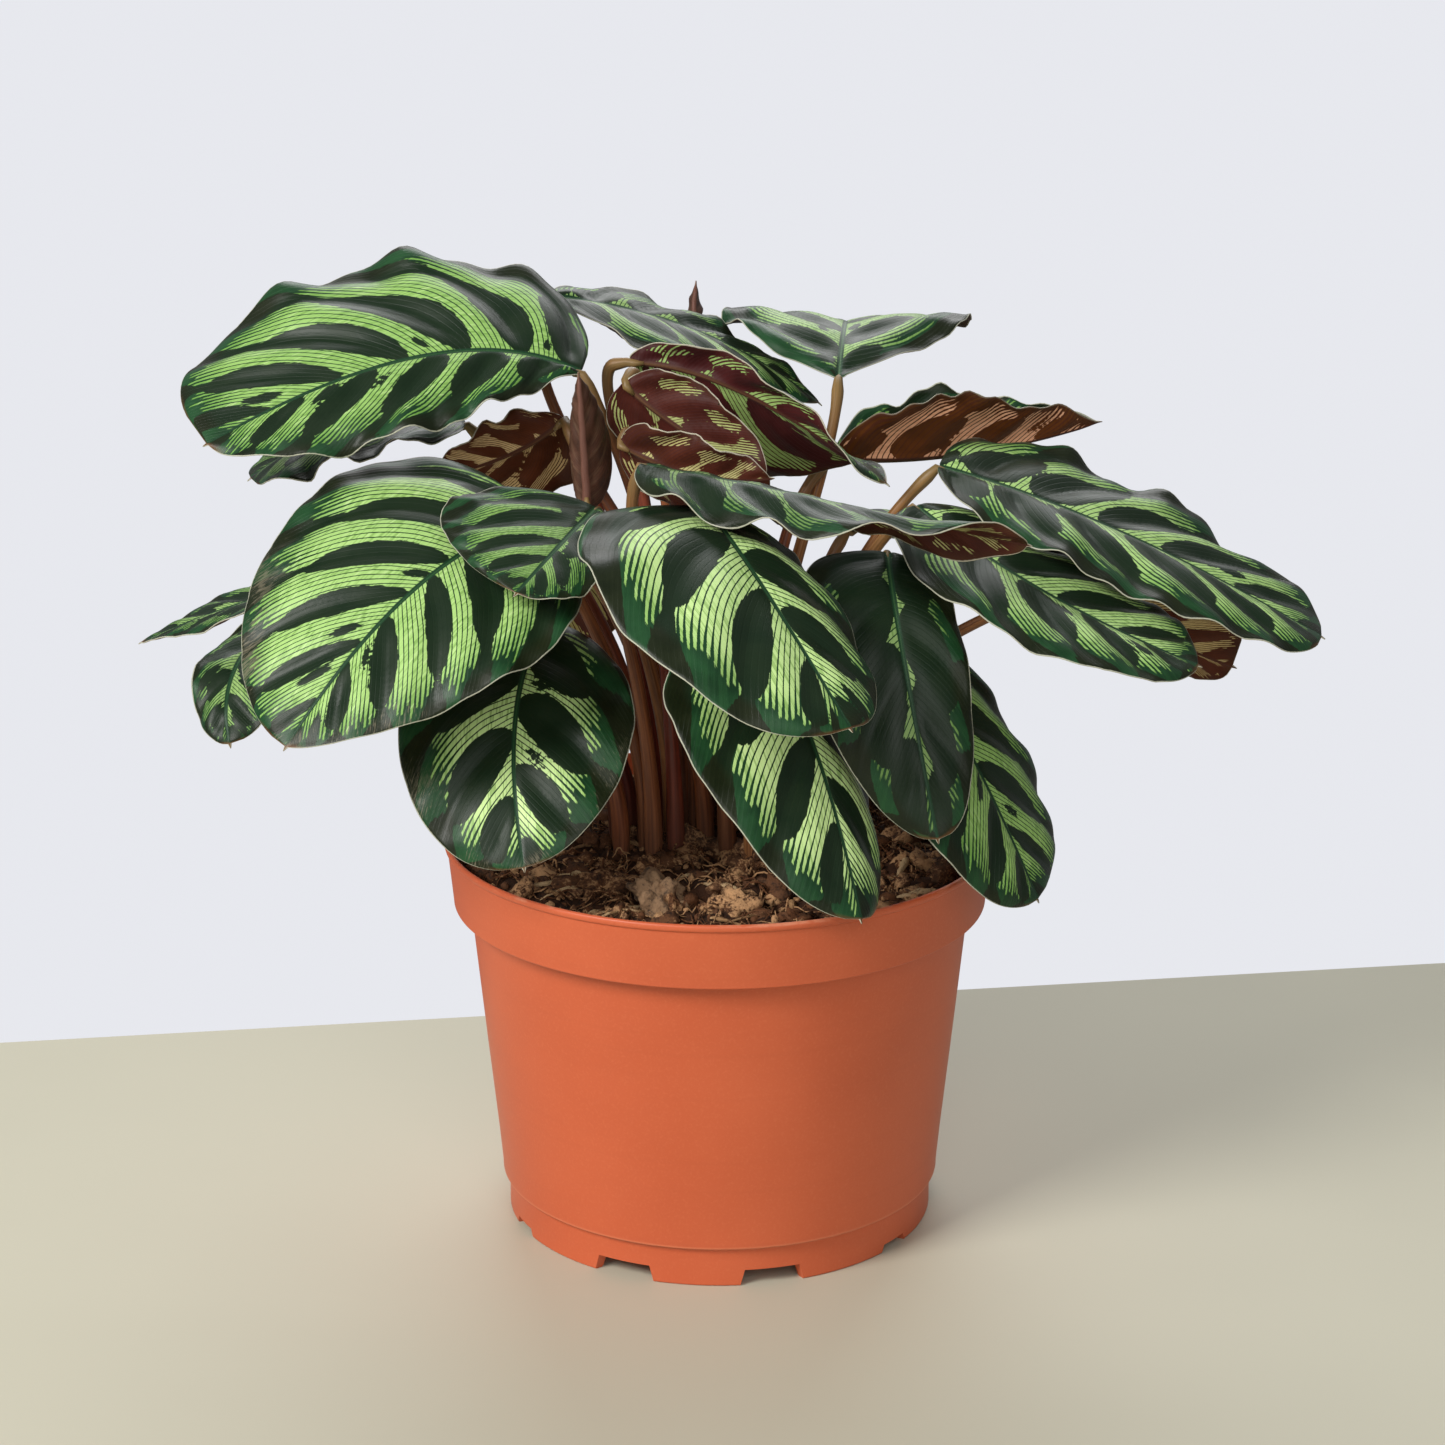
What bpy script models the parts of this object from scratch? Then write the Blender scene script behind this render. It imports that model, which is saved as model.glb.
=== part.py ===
"""Potted calathea: a peacock plant in a round plastic nursery pot.

Metres, +Z up. The origin is the middle of the pot's foot, on the surface that the pot stands
on, and the plant's front faces -Y. Each leaf is a waved blade and a stalk that stands in a
hole in the soil.
"""
import math

import bmesh
import bpy
from mathutils import Vector, noise

MM = 0.001
GAP = 0.3 * MM

# Pot, radii and heights of its outer side
POT_HEIGHT = 109.5 * MM
RIM_RADIUS = 76.0 * MM
RIM_FOOT_RADIUS = 73.5 * MM
RIM_FOOT_HEIGHT = 91.0 * MM
LIP_HEIGHT = 1.4 * MM
BODY_TOP_RADIUS = 69.0 * MM
SEAM_RADIUS = 61.0 * MM
SEAM_HEIGHT = 11.5 * MM
FOOT_RADIUS = 59.5 * MM
WALL = 1.5 * MM
FLOOR_UNDERSIDE = 5.0 * MM
FLOOR_TOP = 7.0 * MM
FLOOR_CORNER = 2.0 * MM
LIP_BEVEL = 0.3 * MM
LIP_ROUNDING = 0.5 * MM
SEAM_STEP = 0.6 * MM
POT_SIDES = 54

# Notches around the foot, every other one deep, and the drain holes in the pot's floor
NOTCH_COUNT = 9
FIRST_NOTCH_ANGLE = math.radians(14.0)
DEEP_NOTCH = (4.6 * MM, 20.0 * MM, 13.0 * MM)
SHALLOW_NOTCH = (2.3 * MM, 12.0 * MM, 9.0 * MM)
NOTCH_INNER_RADIUS = 54.0 * MM
NOTCH_OUTER_RADIUS = 63.0 * MM
DRAIN_HOLES = 5
DRAIN_HOLE_RADIUS = 4.5 * MM
DRAIN_CIRCLE_RADIUS = 40.0 * MM
DRAIN_HOLE_SIDES = 16

# Soil, mounded from the wall to the middle of the pot
SOIL_EDGE_HEIGHT = 104.0 * MM
SOIL_MIDDLE_HEIGHT = 109.5 * MM
SOIL_RINGS = 9
LUMP_HEIGHT = 1.6 * MM
LUMP_SIZE = 11.0 * MM

# Stalks, tapered tubes, each straight in its hole
STALK_FOOT_HEIGHT = 92.0 * MM
STALK_STRAIGHT = 19.0 * MM
STALK_FOOT_RADIUS = 2.2 * MM
STALK_TOP_RADIUS = 1.4 * MM
STALK_BENDS = 9
STALK_UPRIGHT = 0.42
STALK_KNEE = 3.5 * MM
STALK_END_GAP = 0.9 * MM
HOLE_SIDES = 8
HOLE_TOP = 114.0 * MM

# Blades
BLADE_THICKNESS = 0.8 * MM
BLADE_BASE_EDGE = 1.6 * MM
BLADE_TIP_EDGE = 0.5 * MM
ROW_STEP = 7.5 * MM
MIN_ROWS = 8
OPEN_COLUMNS = 4
ROLLED_COLUMNS = 6
WAVE_SLANT = 0.18


class Side:
    """One half of a blade, from the midrib to its edge.

    width: largest half width. near, far: how fast it narrows to the base and to the tip, small
    for a blunt end. rise, droop: slope away from the midrib and at the edge, in degrees.
    wave, waves, phase: height, number and shift of the waves along the edge.
    """

    def __init__(self, width, near, far, rise, droop, wave, waves, phase):
        self.width = width * MM
        self.near = near
        self.far = far
        self.rise = math.radians(rise)
        self.droop = math.radians(droop)
        self.wave = wave * MM
        self.waves = waves
        self.phase = phase

    def half_width(self, s):
        share = self.near / (self.near + self.far)
        peak = share**self.near * (1 - share) ** self.far
        curve = self.width * s**self.near * (1 - s) ** self.far / peak
        end = BLADE_BASE_EDGE * (1 - s) + BLADE_TIP_EDGE * s
        return math.hypot(curve, end)

    def arc(self, across):
        """Way out and up at a share of the half width, along an arc from rise to droop."""
        turn = self.droop - self.rise
        if abs(turn) < 0.0001:
            return across * math.cos(self.rise), across * math.sin(self.rise)
        angle = self.rise + turn * across
        out = (math.sin(angle) - math.sin(self.rise)) / turn
        up = (math.cos(self.rise) - math.cos(angle)) / turn
        return out, up

    def ripple(self, s, across):
        fade = math.sqrt(max(4 * s * (1 - s), 0))
        turns = self.waves * (s - WAVE_SLANT * across) + self.phase
        return self.wave * across**2 * fade * math.sin(2 * math.pi * turns)


class Leaf:
    """A leaf, with its places in millimetres.

    foot: x and y of the stalk in the soil. base, mid, tip: points that the midrib runs
    through. roll: how far the blade's right side is turned up at each of them, in degrees.
    lift: climb of the stalk where it meets the blade. arrive: that direction where it isn't
    the blade's own. bow: how soon the stalk turns to that direction, as a share of its reach.
    facing: direction of the blade over the ground, in degrees, where the midrib stands
    upright. sweep: how far the edges run ahead near the base and near the tip.
    """

    def __init__(self, foot, base, mid, tip, left, right, roll=(0, 0, 0), lift=1.0, arrive=None,
                 bow=0.26, facing=None, sweep=(0, 0)):
        self.foot = Vector(foot) * MM
        self.base = Vector(base) * MM
        self.mid = Vector(mid) * MM
        self.tip = Vector(tip) * MM
        self.left = Side(*left)
        self.right = Side(*right)
        self.roll = [math.radians(angle) for angle in roll]
        self.sweep = [length * MM for length in sweep]
        self.columns = OPEN_COLUMNS if facing is None else ROLLED_COLUMNS
        heading = (self.tip - self.base).to_2d().normalized()
        if facing is not None:
            heading = Vector((math.cos(math.radians(facing)), math.sin(math.radians(facing))))
        self.heading = heading.to_3d()
        self.arrive = Vector(arrive or (heading.x, heading.y, lift)).normalized()
        self.bow = bow


# The places were read from the photograph. The sides are named as seen from the stalk.
LEAVES = {
    # Upper left, the highest open leaf
    "leaf_01": Leaf(foot=(-10, 2), base=(-37, 1, 238), mid=(-79, -4, 243), tip=(-134, -20, 223),
                    left=(23, 0.8, 0.6, 0, -24, 1.5, 3.2, 0),
                    right=(44, 0.33, 0.3, 14, -20, 3, 3.7, 0.15),
                    roll=(28, 30, 32), lift=2, sweep=(0, 4)),
    # Large leaf at the left
    "leaf_02": Leaf(foot=(-20, -9), base=(-46, -22, 203), mid=(-77, -52, 193), tip=(-109, -77, 158),
                    left=(38, 0.6, 0.75, 4, -14, 1, 3, 0),
                    right=(46, 0.36, 0.5, 6, -14, 1, 3, 0.5),
                    roll=(24, 24, 24), lift=2.5, sweep=(-6, 0)),
    # Lower left, hanging
    "leaf_03": Leaf(foot=(-27, -10), base=(-46, -16, 174), mid=(-53, -47, 156), tip=(-50, -72, 124),
                    left=(31, 0.5, 0.5, 6, -14, 1, 3, 0),
                    right=(31, 0.4, 0.42, 6, -14, 1, 3, 0.5)),
    # Small leaf above the large left one
    "leaf_04": Leaf(foot=(-18, -15), base=(-32, -28, 208), mid=(-41, -50, 203), tip=(-51, -66, 195),
                    left=(15, 0.7, 0.5, 6, -14, 1, 3, 0),
                    right=(34, 0.4, 0.5, 6, -14, 1, 3, 0.5),
                    roll=(18, 16, 14), lift=3),
    # Middle of the front
    "leaf_05": Leaf(foot=(2, -17), base=(-4, -37, 210), mid=(9, -68, 200), tip=(32, -100, 170),
                    left=(25, 0.5, 0.4, 6, -40, 1, 3, 0),
                    right=(42, 0.4, 0.5, 6, -22, 2, 3, 0.5),
                    roll=(8, 4, 0), lift=0.4, sweep=(-6, 2)),
    # Front, hanging over the rim
    "leaf_06": Leaf(foot=(9, -22), base=(6, -32, 177), mid=(22, -53, 157), tip=(36, -80, 113),
                    left=(26, 0.45, 0.38, -10, -60, 1, 3, 0),
                    right=(36, 0.35, 0.5, 6, -14, 1, 3, 0.5)),
    # Front right, hanging past the rim
    "leaf_07": Leaf(foot=(24, -11), base=(46, -20, 176), mid=(66, -40, 144), tip=(84, -46, 106),
                    left=(31, 0.4, 0.3, 6, -24, 1, 3, 0),
                    right=(30, 0.35, 0.5, 6, -30, 1, 3, 0.5)),
    # Dark narrow leaf between those two
    "leaf_08": Leaf(foot=(10, -14), base=(44, -29, 196), mid=(47, -50, 176), tip=(56, -67, 130),
                    left=(17, 0.4, 0.4, 6, -24, 1, 3, 0),
                    right=(26, 0.35, 0.5, 6, -14, 1, 3, 0.5),
                    roll=(0, -10, -20)),
    # Right
    "leaf_09": Leaf(foot=(19, -5), base=(52, -14, 205), mid=(85, -36, 187), tip=(124, -45, 170),
                    left=(32, 0.4, 0.4, 6, -14, 1.5, 3, 0),
                    right=(27, 0.4, 0.55, 6, -14, 1.5, 3, 0.5),
                    roll=(-7, -7, -7)),
    # Far right, the longest
    "leaf_10": Leaf(foot=(19, 2), base=(59, 2, 212), mid=(107, -6, 196), tip=(161, -14, 169),
                    left=(34, 0.3, 0.36, 6, -10, 2, 3, 0),
                    right=(28, 0.5, 0.4, 6, -14, 2, 3, 0.5),
                    roll=(-14, -11, -8)),
    # Right, half folded, with its maroon underside to the front
    "leaf_11": Leaf(foot=(12, 0), base=(31, 22, 210), mid=(66, 30, 209), tip=(105, 38, 216),
                    left=(18, 0.6, 0.9, 74, 84, 1.5, 2.5, 0.5),
                    right=(22, 0.6, 0.9, 60, 60, 1.5, 2.5, 0.5)),
    # High at the back, pointing away
    "leaf_12": Leaf(foot=(10, 12), base=(33, 42, 228), mid=(36, 76, 237), tip=(38, 100, 226),
                    left=(36, 0.8, 0.6, 10, -6, 2, 2.5, 0),
                    right=(36, 0.8, 0.6, 10, -6, 2, 2.5, 0.5)),
    # High at the back, seen nearly edge on
    "leaf_13": Leaf(foot=(3, 11), base=(-46, 52, 249), mid=(-6, 62, 237), tip=(28, 60, 217),
                    left=(14, 0.4, 0.6, 6, -6, 2, 3.5, 0),
                    right=(28, 0.4, 0.6, 6, -6, 2, 3, 0.5), roll=(-10, -10, -10), lift=2),
    # Middle, turned on its side, with its maroon underside to the front
    "leaf_14": Leaf(foot=(-4, 9), base=(-24, 14, 238), mid=(6, 4, 232), tip=(44, -14, 211),
                    left=(38, 0.36, 0.75, 10, 10, 2, 3, 0),
                    right=(9, 0.5, 0.4, 0, -20, 2.5, 3, 0.5),
                    roll=(80, 80, 10), arrive=(0.9, -0.3, 0.2), bow=0.13),
    # Middle, in front of it and turned the same way
    "leaf_15": Leaf(foot=(-6, -3), base=(-25, -8, 237), mid=(-11, -12, 226), tip=(12, -22, 214),
                    left=(16, 0.4, 0.5, 10, 10, 2, 3, 0),
                    right=(13, 0.5, 0.5, 0, 0, 1.5, 2.5, 0.5),
                    roll=(92, 92, 92), arrive=(-0.35, -0.93, -0.3), bow=0.13),
    # Small one under that, turned the same way
    "leaf_16": Leaf(foot=(-12, -12), base=(-26, -18, 223), mid=(-7, -28, 217), tip=(13, -34, 217),
                    left=(14, 0.35, 0.5, 10, 10, 1, 3, 0),
                    right=(11, 0.4, 0.6, 0, 0, 2, 2.5, 0.5),
                    roll=(75, 75, 75), arrive=(-0.37, -0.89, -0.35), bow=0.1),
    # Long narrow waved leaf across the middle
    "leaf_17": Leaf(foot=(-4, -10), base=(-20, -33, 221), mid=(24, -50, 216), tip=(78, -56, 205),
                    left=(13, 0.4, 0.5, -24, -50, 1.5, 4, 0),
                    right=(17, 0.4, 0.5, -10, -18, 3, 4, 0.3),
                    roll=(0, -4, 60), lift=3),
    # Left, flat, behind the highest leaf
    "leaf_18": Leaf(foot=(-15, 11), base=(-70, 28, 218), mid=(-102, 24, 217), tip=(-128, 18, 205),
                    left=(26, 0.4, 0.3, 6, -14, 2, 3, 0),
                    right=(26, 0.4, 0.3, 6, -14, 2, 3, 0.5)),
    # Far left, narrow
    "leaf_19": Leaf(foot=(-25, 6), base=(-80, 22, 180), mid=(-121, 22, 172), tip=(-162, 30, 155),
                    left=(15, 0.6, 0.7, 6, 0, 1, 3, 0),
                    right=(15, 0.6, 0.7, 6, -10, 1, 3, 0.5),
                    roll=(8, 8, 8)),
    # Far left, small and low
    "leaf_20": Leaf(foot=(-28, -2), base=(-119, 14, 167), mid=(-130, -14, 160), tip=(-130, -30, 144),
                    left=(15, 0.5, 0.4, 6, -14, 1.5, 2, 0),
                    right=(11, 0.4, 0.5, 6, -14, 2, 2, 0.5)),
    # Left of the middle, turned away
    "leaf_21": Leaf(foot=(-17, 4), base=(-42, 8, 224), mid=(-56, 10, 214), tip=(-76, 8, 208),
                    left=(12, 0.5, 0.5, 0, 0, 2, 3, 0),
                    right=(22, 0.5, 0.5, 20, 0, 2, 3, 0.5),
                    roll=(-70, -65, -60), arrive=(-0.35, 0.75, 0.6), bow=0.12),
    # Right, small, under the longest
    "leaf_22": Leaf(foot=(26, 5), base=(90, 14, 174), mid=(115, 8, 165), tip=(140, 2, 156),
                    left=(14, 0.5, 0.4, 20, 0, 1, 2, 0),
                    right=(17, 0.5, 0.22, 0, 0, 1, 2, 0.5),
                    roll=(50, 60, 70), lift=0.5),
    # Back of the plant, from left to right
    "leaf_23": Leaf(foot=(-20, 18), base=(-50, 36, 188), mid=(-78, 60, 182), tip=(-100, 80, 154),
                    left=(28, 0.4, 0.45, 6, -14, 2, 3, 0),
                    right=(34, 0.4, 0.45, 6, -14, 2, 3, 0.5)),
    "leaf_24": Leaf(foot=(-11, 24), base=(-28, 40, 172), mid=(-43, 77, 165), tip=(-54, 104, 128),
                    left=(34, 0.4, 0.45, 6, -14, 1.5, 3, 0),
                    right=(34, 0.4, 0.45, 6, -14, 1.5, 3, 0.5)),
    "leaf_25": Leaf(foot=(5, 25), base=(14, 40, 168), mid=(24, 72, 150), tip=(30, 88, 112),
                    left=(30, 0.4, 0.45, 6, -14, 1.5, 3, 0),
                    right=(30, 0.4, 0.45, 6, -14, 1.5, 3, 0.5)),
    "leaf_26": Leaf(foot=(14, 19), base=(36, 36, 186), mid=(66, 64, 178), tip=(88, 84, 144),
                    left=(33, 0.4, 0.45, 6, -14, 1.5, 3, 0),
                    right=(33, 0.4, 0.45, 6, -14, 1.5, 3, 0.5)),
    # Rolled leaves, upright
    "rolled_leaf_01": Leaf(foot=(-3, 20), base=(-8, 66, 196), mid=(-8, 84, 224), tip=(-7, 97, 244),
                           left=(9, 0.6, 0.8, 30, 100, 0, 3, 0),
                           right=(9, 0.6, 0.8, 30, 100, 0, 3, 0),
                           arrive=(-0.1, 0.75, 0.65), facing=-90),
    "rolled_leaf_02": Leaf(foot=(-13, -6), base=(-35, -12, 203), mid=(-36, -11.5, 222),
                           tip=(-37, -11, 239),
                           left=(14, 0.45, 0.9, 30, 90, 0, 3, 0),
                           right=(8, 0.5, 0.9, 30, 90, 0, 3, 0),
                           arrive=(-0.4, -0.2, 0.9), facing=-90),
}
BROWN_BLADES = ("rolled_leaf_01", "rolled_leaf_02")


def clear_scene():
    for obj in list(bpy.data.objects):
        bpy.data.objects.remove(obj, do_unlink=True)


def add_collection(name):
    collection = bpy.data.collections.new(name)
    bpy.context.scene.collection.children.link(collection)
    return collection


def add_material(name, colour, roughness):
    material = bpy.data.materials.new(name)
    material.use_nodes = True
    shader = material.node_tree.nodes["Principled BSDF"]
    shader.inputs["Base Color"].default_value = (*colour, 1.0)
    shader.inputs["Roughness"].default_value = roughness
    shader.inputs["Metallic"].default_value = 0.0
    return material


def add_object(name, data, collection, parent=None, material=None):
    obj = bpy.data.objects.new(name, data)
    collection.objects.link(obj)
    obj.parent = parent
    if material:
        data.materials.append(material)
    return obj


def add_cutter(name, mesh_builder, collection):
    """Put a closed bmesh in the cutters' collection, unseen in renders."""
    mesh = bpy.data.meshes.new(name)
    mesh_builder.to_mesh(mesh)
    mesh_builder.free()
    cutter = add_object(name, mesh, collection)
    cutter.hide_render = True
    cutter.display_type = "WIRE"
    return cutter


def cut(obj, cutters):
    boolean = obj.modifiers.new("Cuts", "BOOLEAN")
    boolean.operation = "DIFFERENCE"
    boolean.operand_type = "COLLECTION"
    boolean.collection = cutters


def quadratic(start, middle, end, s):
    """Point at s on the parabola through three points, the middle one at a half."""
    handle = 2 * middle - 0.5 * (start + end)
    return (1 - s) ** 2 * start + 2 * s * (1 - s) * handle + s * s * end


def quadratic_direction(start, middle, end, s):
    handle = 2 * middle - 0.5 * (start + end)
    return ((1 - s) * (handle - start) + s * (end - handle)).normalized()


def cubic(start, first, second, end, s):
    r = 1 - s
    return r**3 * start + 3 * r * r * s * first + 3 * r * s * s * second + s**3 * end


def blade_point(leaf, s, t):
    """Point of a blade at s from base to tip, and t from -1 at its left edge to 1 at its right."""
    rib = quadratic(leaf.base, leaf.mid, leaf.tip, s)
    along = quadratic_direction(leaf.base, leaf.mid, leaf.tip, s)
    flat_right = Vector((leaf.heading.y, -leaf.heading.x, 0))
    flat_right = (flat_right - along * along.dot(flat_right)).normalized()
    flat_up = flat_right.cross(along)
    roll = quadratic(*leaf.roll, s)
    right = flat_right * math.cos(roll) + flat_up * math.sin(roll)
    up = flat_up * math.cos(roll) - flat_right * math.sin(roll)
    side = leaf.left if t < 0 else leaf.right
    across = abs(t)
    half_width = side.half_width(s)
    out, rise = side.arc(across)
    body = min(max(half_width / side.width - 0.1, 0), 1)
    ahead = (leaf.sweep[0] * (1 - s) ** 2 + leaf.sweep[1] * s**2) * across**2 * body
    sideways = math.copysign(half_width * out, t)
    return rib + right * sideways + up * (half_width * rise + side.ripple(s, across)) + along * ahead


def stalk_points(leaf):
    """Straight up out of the hole, over to the blade, and straight again at its base."""
    foot = Vector((leaf.foot.x, leaf.foot.y, STALK_FOOT_HEIGHT))
    collar = foot + Vector((0, 0, STALK_STRAIGHT))
    reach = (leaf.base - collar).length
    first = collar + Vector((0, 0, STALK_UPRIGHT * reach))
    second = leaf.base - leaf.arrive * (leaf.bow * reach)
    end = leaf.base - leaf.arrive * STALK_END_GAP
    knee = end - leaf.arrive * STALK_KNEE
    curve = [cubic(collar, first, second, knee, i / STALK_BENDS) for i in range(STALK_BENDS + 1)]
    return [foot] + curve + [end]


def add_blade(name, leaf, collection, parent, material):
    """A grid bent to the blade's form, split into triangles, and thickened both ways."""
    length = (leaf.mid - leaf.base).length + (leaf.tip - leaf.mid).length
    rows = max(MIN_ROWS, round(length / ROW_STEP))
    grid = bmesh.new()
    bmesh.ops.create_grid(grid, x_segments=leaf.columns, y_segments=rows, size=1.0)
    for vertex in grid.verts:
        s = (1 - math.cos(math.pi * (vertex.co.y + 1) / 2)) / 2
        vertex.co = blade_point(leaf, min(max(s, 0.0), 1.0), vertex.co.x)
    bmesh.ops.triangulate(grid, faces=grid.faces)
    mesh = bpy.data.meshes.new(name)
    grid.to_mesh(mesh)
    grid.free()
    mesh.shade_smooth()
    blade = add_object(name, mesh, collection, parent, material)
    solidify = blade.modifiers.new("Thickness", "SOLIDIFY")
    solidify.thickness = BLADE_THICKNESS
    solidify.offset = 0.0


def add_stalk(name, leaf, collection, parent, material):
    curve = bpy.data.curves.new(name, "CURVE")
    curve.dimensions = "3D"
    curve.bevel_depth = STALK_FOOT_RADIUS
    curve.bevel_resolution = 1
    curve.use_fill_caps = True
    points = stalk_points(leaf)
    spline = curve.splines.new("POLY")
    spline.points.add(len(points) - 1)
    spline.use_smooth = True
    taper = STALK_TOP_RADIUS / STALK_FOOT_RADIUS
    for i, (point, place) in enumerate(zip(spline.points, points)):
        share = i / (len(points) - 1)
        point.co = (*place, 1.0)
        point.radius = 1 - share * (1 - taper)
    add_object(name, curve, collection, parent, material)


def turned_object(name, profile, collection):
    """An outline of (radius, height) points turned round the Z axis."""
    outline = bpy.data.meshes.new(name)
    edges = [(i, i + 1) for i in range(len(profile) - 1)]
    outline.from_pydata([(radius, 0, height) for radius, height in profile], edges, [])
    spun = add_object(name, outline, collection)
    screw = spun.modifiers.new("Turn", "SCREW")
    screw.steps = POT_SIDES
    screw.render_steps = POT_SIDES
    screw.use_merge_vertices = True
    screw.merge_threshold = 0.00001
    return spun


def pot_profile():
    """From the middle of the inner floor, up the inside, over the rim, down the outside."""
    body_inside = BODY_TOP_RADIUS - WALL
    rim_inside = RIM_FOOT_RADIUS - WALL
    lip_foot = POT_HEIGHT - LIP_HEIGHT
    return [
        (0, FLOOR_TOP),
        (SEAM_RADIUS - WALL - FLOOR_CORNER, FLOOR_TOP),
        (SEAM_RADIUS - WALL, SEAM_HEIGHT),
        (body_inside, RIM_FOOT_HEIGHT + WALL),
        (rim_inside, RIM_FOOT_HEIGHT + WALL),
        (RIM_RADIUS - WALL - LIP_HEIGHT / 2, lip_foot),
        (RIM_RADIUS - WALL, POT_HEIGHT - LIP_BEVEL),
        (RIM_RADIUS - WALL + LIP_ROUNDING, POT_HEIGHT),
        (RIM_RADIUS - LIP_ROUNDING, POT_HEIGHT),
        (RIM_RADIUS, POT_HEIGHT - LIP_ROUNDING),
        (RIM_RADIUS, lip_foot),
        (RIM_RADIUS - LIP_HEIGHT / 2, lip_foot - LIP_BEVEL),
        (RIM_FOOT_RADIUS, RIM_FOOT_HEIGHT),
        (BODY_TOP_RADIUS, RIM_FOOT_HEIGHT),
        (SEAM_RADIUS, SEAM_HEIGHT),
        (FOOT_RADIUS, SEAM_HEIGHT - SEAM_STEP),
        (FOOT_RADIUS, 0),
        (FOOT_RADIUS - 2 * WALL, 0),
        (FOOT_RADIUS - 2 * WALL, FLOOR_UNDERSIDE),
        (0, FLOOR_UNDERSIDE),
    ]


def notch_cutter(index, collection):
    """A block that narrows towards the pot's axis, across the foot."""
    height, outer_width, inner_width = DEEP_NOTCH if index % 2 == 0 else SHALLOW_NOTCH
    angle = FIRST_NOTCH_ANGLE + index * 2 * math.pi / NOTCH_COUNT - math.pi / 2
    block = bmesh.new()
    bmesh.ops.create_cube(block, size=2.0)
    for vertex in block.verts:
        outer = vertex.co.x > 0
        width = outer_width if outer else inner_width
        radius = NOTCH_OUTER_RADIUS if outer else NOTCH_INNER_RADIUS
        vertex.co = (radius, vertex.co.y * width / 2, vertex.co.z * height)
    cutter = add_cutter(f"notch_cutter_{index + 1}", block, collection)
    cutter.rotation_euler.z = angle


def round_cutter(name, radius, low, high, place, sides, collection):
    drum = bmesh.new()
    bmesh.ops.create_cone(drum, cap_ends=True, segments=sides, radius1=radius, radius2=radius,
                          depth=high - low)
    cutter = add_cutter(name, drum, collection)
    cutter.location = (place[0], place[1], (low + high) / 2)


def add_pot(collection, parent):
    cutters = add_collection("pot_cutters")
    for index in range(NOTCH_COUNT):
        notch_cutter(index, cutters)
    for index in range(DRAIN_HOLES):
        angle = 2 * math.pi * index / DRAIN_HOLES
        place = (DRAIN_CIRCLE_RADIUS * math.cos(angle), DRAIN_CIRCLE_RADIUS * math.sin(angle))
        round_cutter(f"drain_cutter_{index + 1}", DRAIN_HOLE_RADIUS, FLOOR_UNDERSIDE - MM,
                     FLOOR_TOP + MM, place, DRAIN_HOLE_SIDES, cutters)
    pot = turned_object("pot", pot_profile(), collection)
    pot.parent = parent
    pot.data.materials.append(add_material("terracotta_plastic", (0.62, 0.17, 0.075), 0.45))
    cut(pot, cutters)


def soil_profile():
    """From the mound's middle out over its top, then down the pot's inside to the floor."""
    floor_radius = SEAM_RADIUS - WALL - FLOOR_CORNER - GAP
    seam_radius = SEAM_RADIUS - WALL - GAP
    neck_radius = BODY_TOP_RADIUS - WALL - GAP
    shelf = RIM_FOOT_HEIGHT + WALL + GAP
    slope = (RIM_RADIUS - RIM_FOOT_RADIUS) / (POT_HEIGHT - RIM_FOOT_HEIGHT)
    edge_radius = RIM_FOOT_RADIUS - WALL + slope * (SOIL_EDGE_HEIGHT - RIM_FOOT_HEIGHT) - 3 * GAP
    top = []
    for ring in range(SOIL_RINGS + 1):
        share = ring / SOIL_RINGS
        fall = (1 - math.cos(math.pi * share)) / 2
        height = SOIL_MIDDLE_HEIGHT + fall * (SOIL_EDGE_HEIGHT - SOIL_MIDDLE_HEIGHT)
        top.append((share * edge_radius, height))
    return top + [
        (RIM_FOOT_RADIUS - WALL - GAP, shelf),
        (neck_radius, shelf),
        (seam_radius, SEAM_HEIGHT),
        (floor_radius, FLOOR_TOP + GAP),
        (0, FLOOR_TOP + GAP),
    ]


def add_soil(collection, parent):
    """A turned filling, roughened on top, with a plain hole for each stalk."""
    cutters = add_collection("soil_cutters")
    hole_radius = (STALK_FOOT_RADIUS + GAP) / math.cos(math.pi / HOLE_SIDES)
    for name, leaf in LEAVES.items():
        round_cutter(f"{name}_hole_cutter", hole_radius, STALK_FOOT_HEIGHT - GAP, HOLE_TOP,
                     leaf.foot, HOLE_SIDES, cutters)
    turned = turned_object("turned_soil", soil_profile(), cutters)
    evaluated = turned.evaluated_get(bpy.context.evaluated_depsgraph_get())
    mesh = bpy.data.meshes.new_from_object(evaluated)
    bpy.data.objects.remove(turned)
    for vertex in mesh.vertices:
        radius = vertex.co.to_2d().length
        if vertex.co.z > SOIL_EDGE_HEIGHT + 0.1 * MM:
            inward = 1 - radius / RIM_FOOT_RADIUS
            lump = noise.noise(vertex.co / LUMP_SIZE)
            vertex.co.z += LUMP_HEIGHT * lump * min(1, 6 * inward)
    mesh.shade_smooth()
    soil = add_object("soil", mesh, collection, parent)
    mesh.materials.clear()
    mesh.materials.append(add_material("potting_mix", (0.09, 0.045, 0.022), 0.95))
    cut(soil, cutters)


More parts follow.
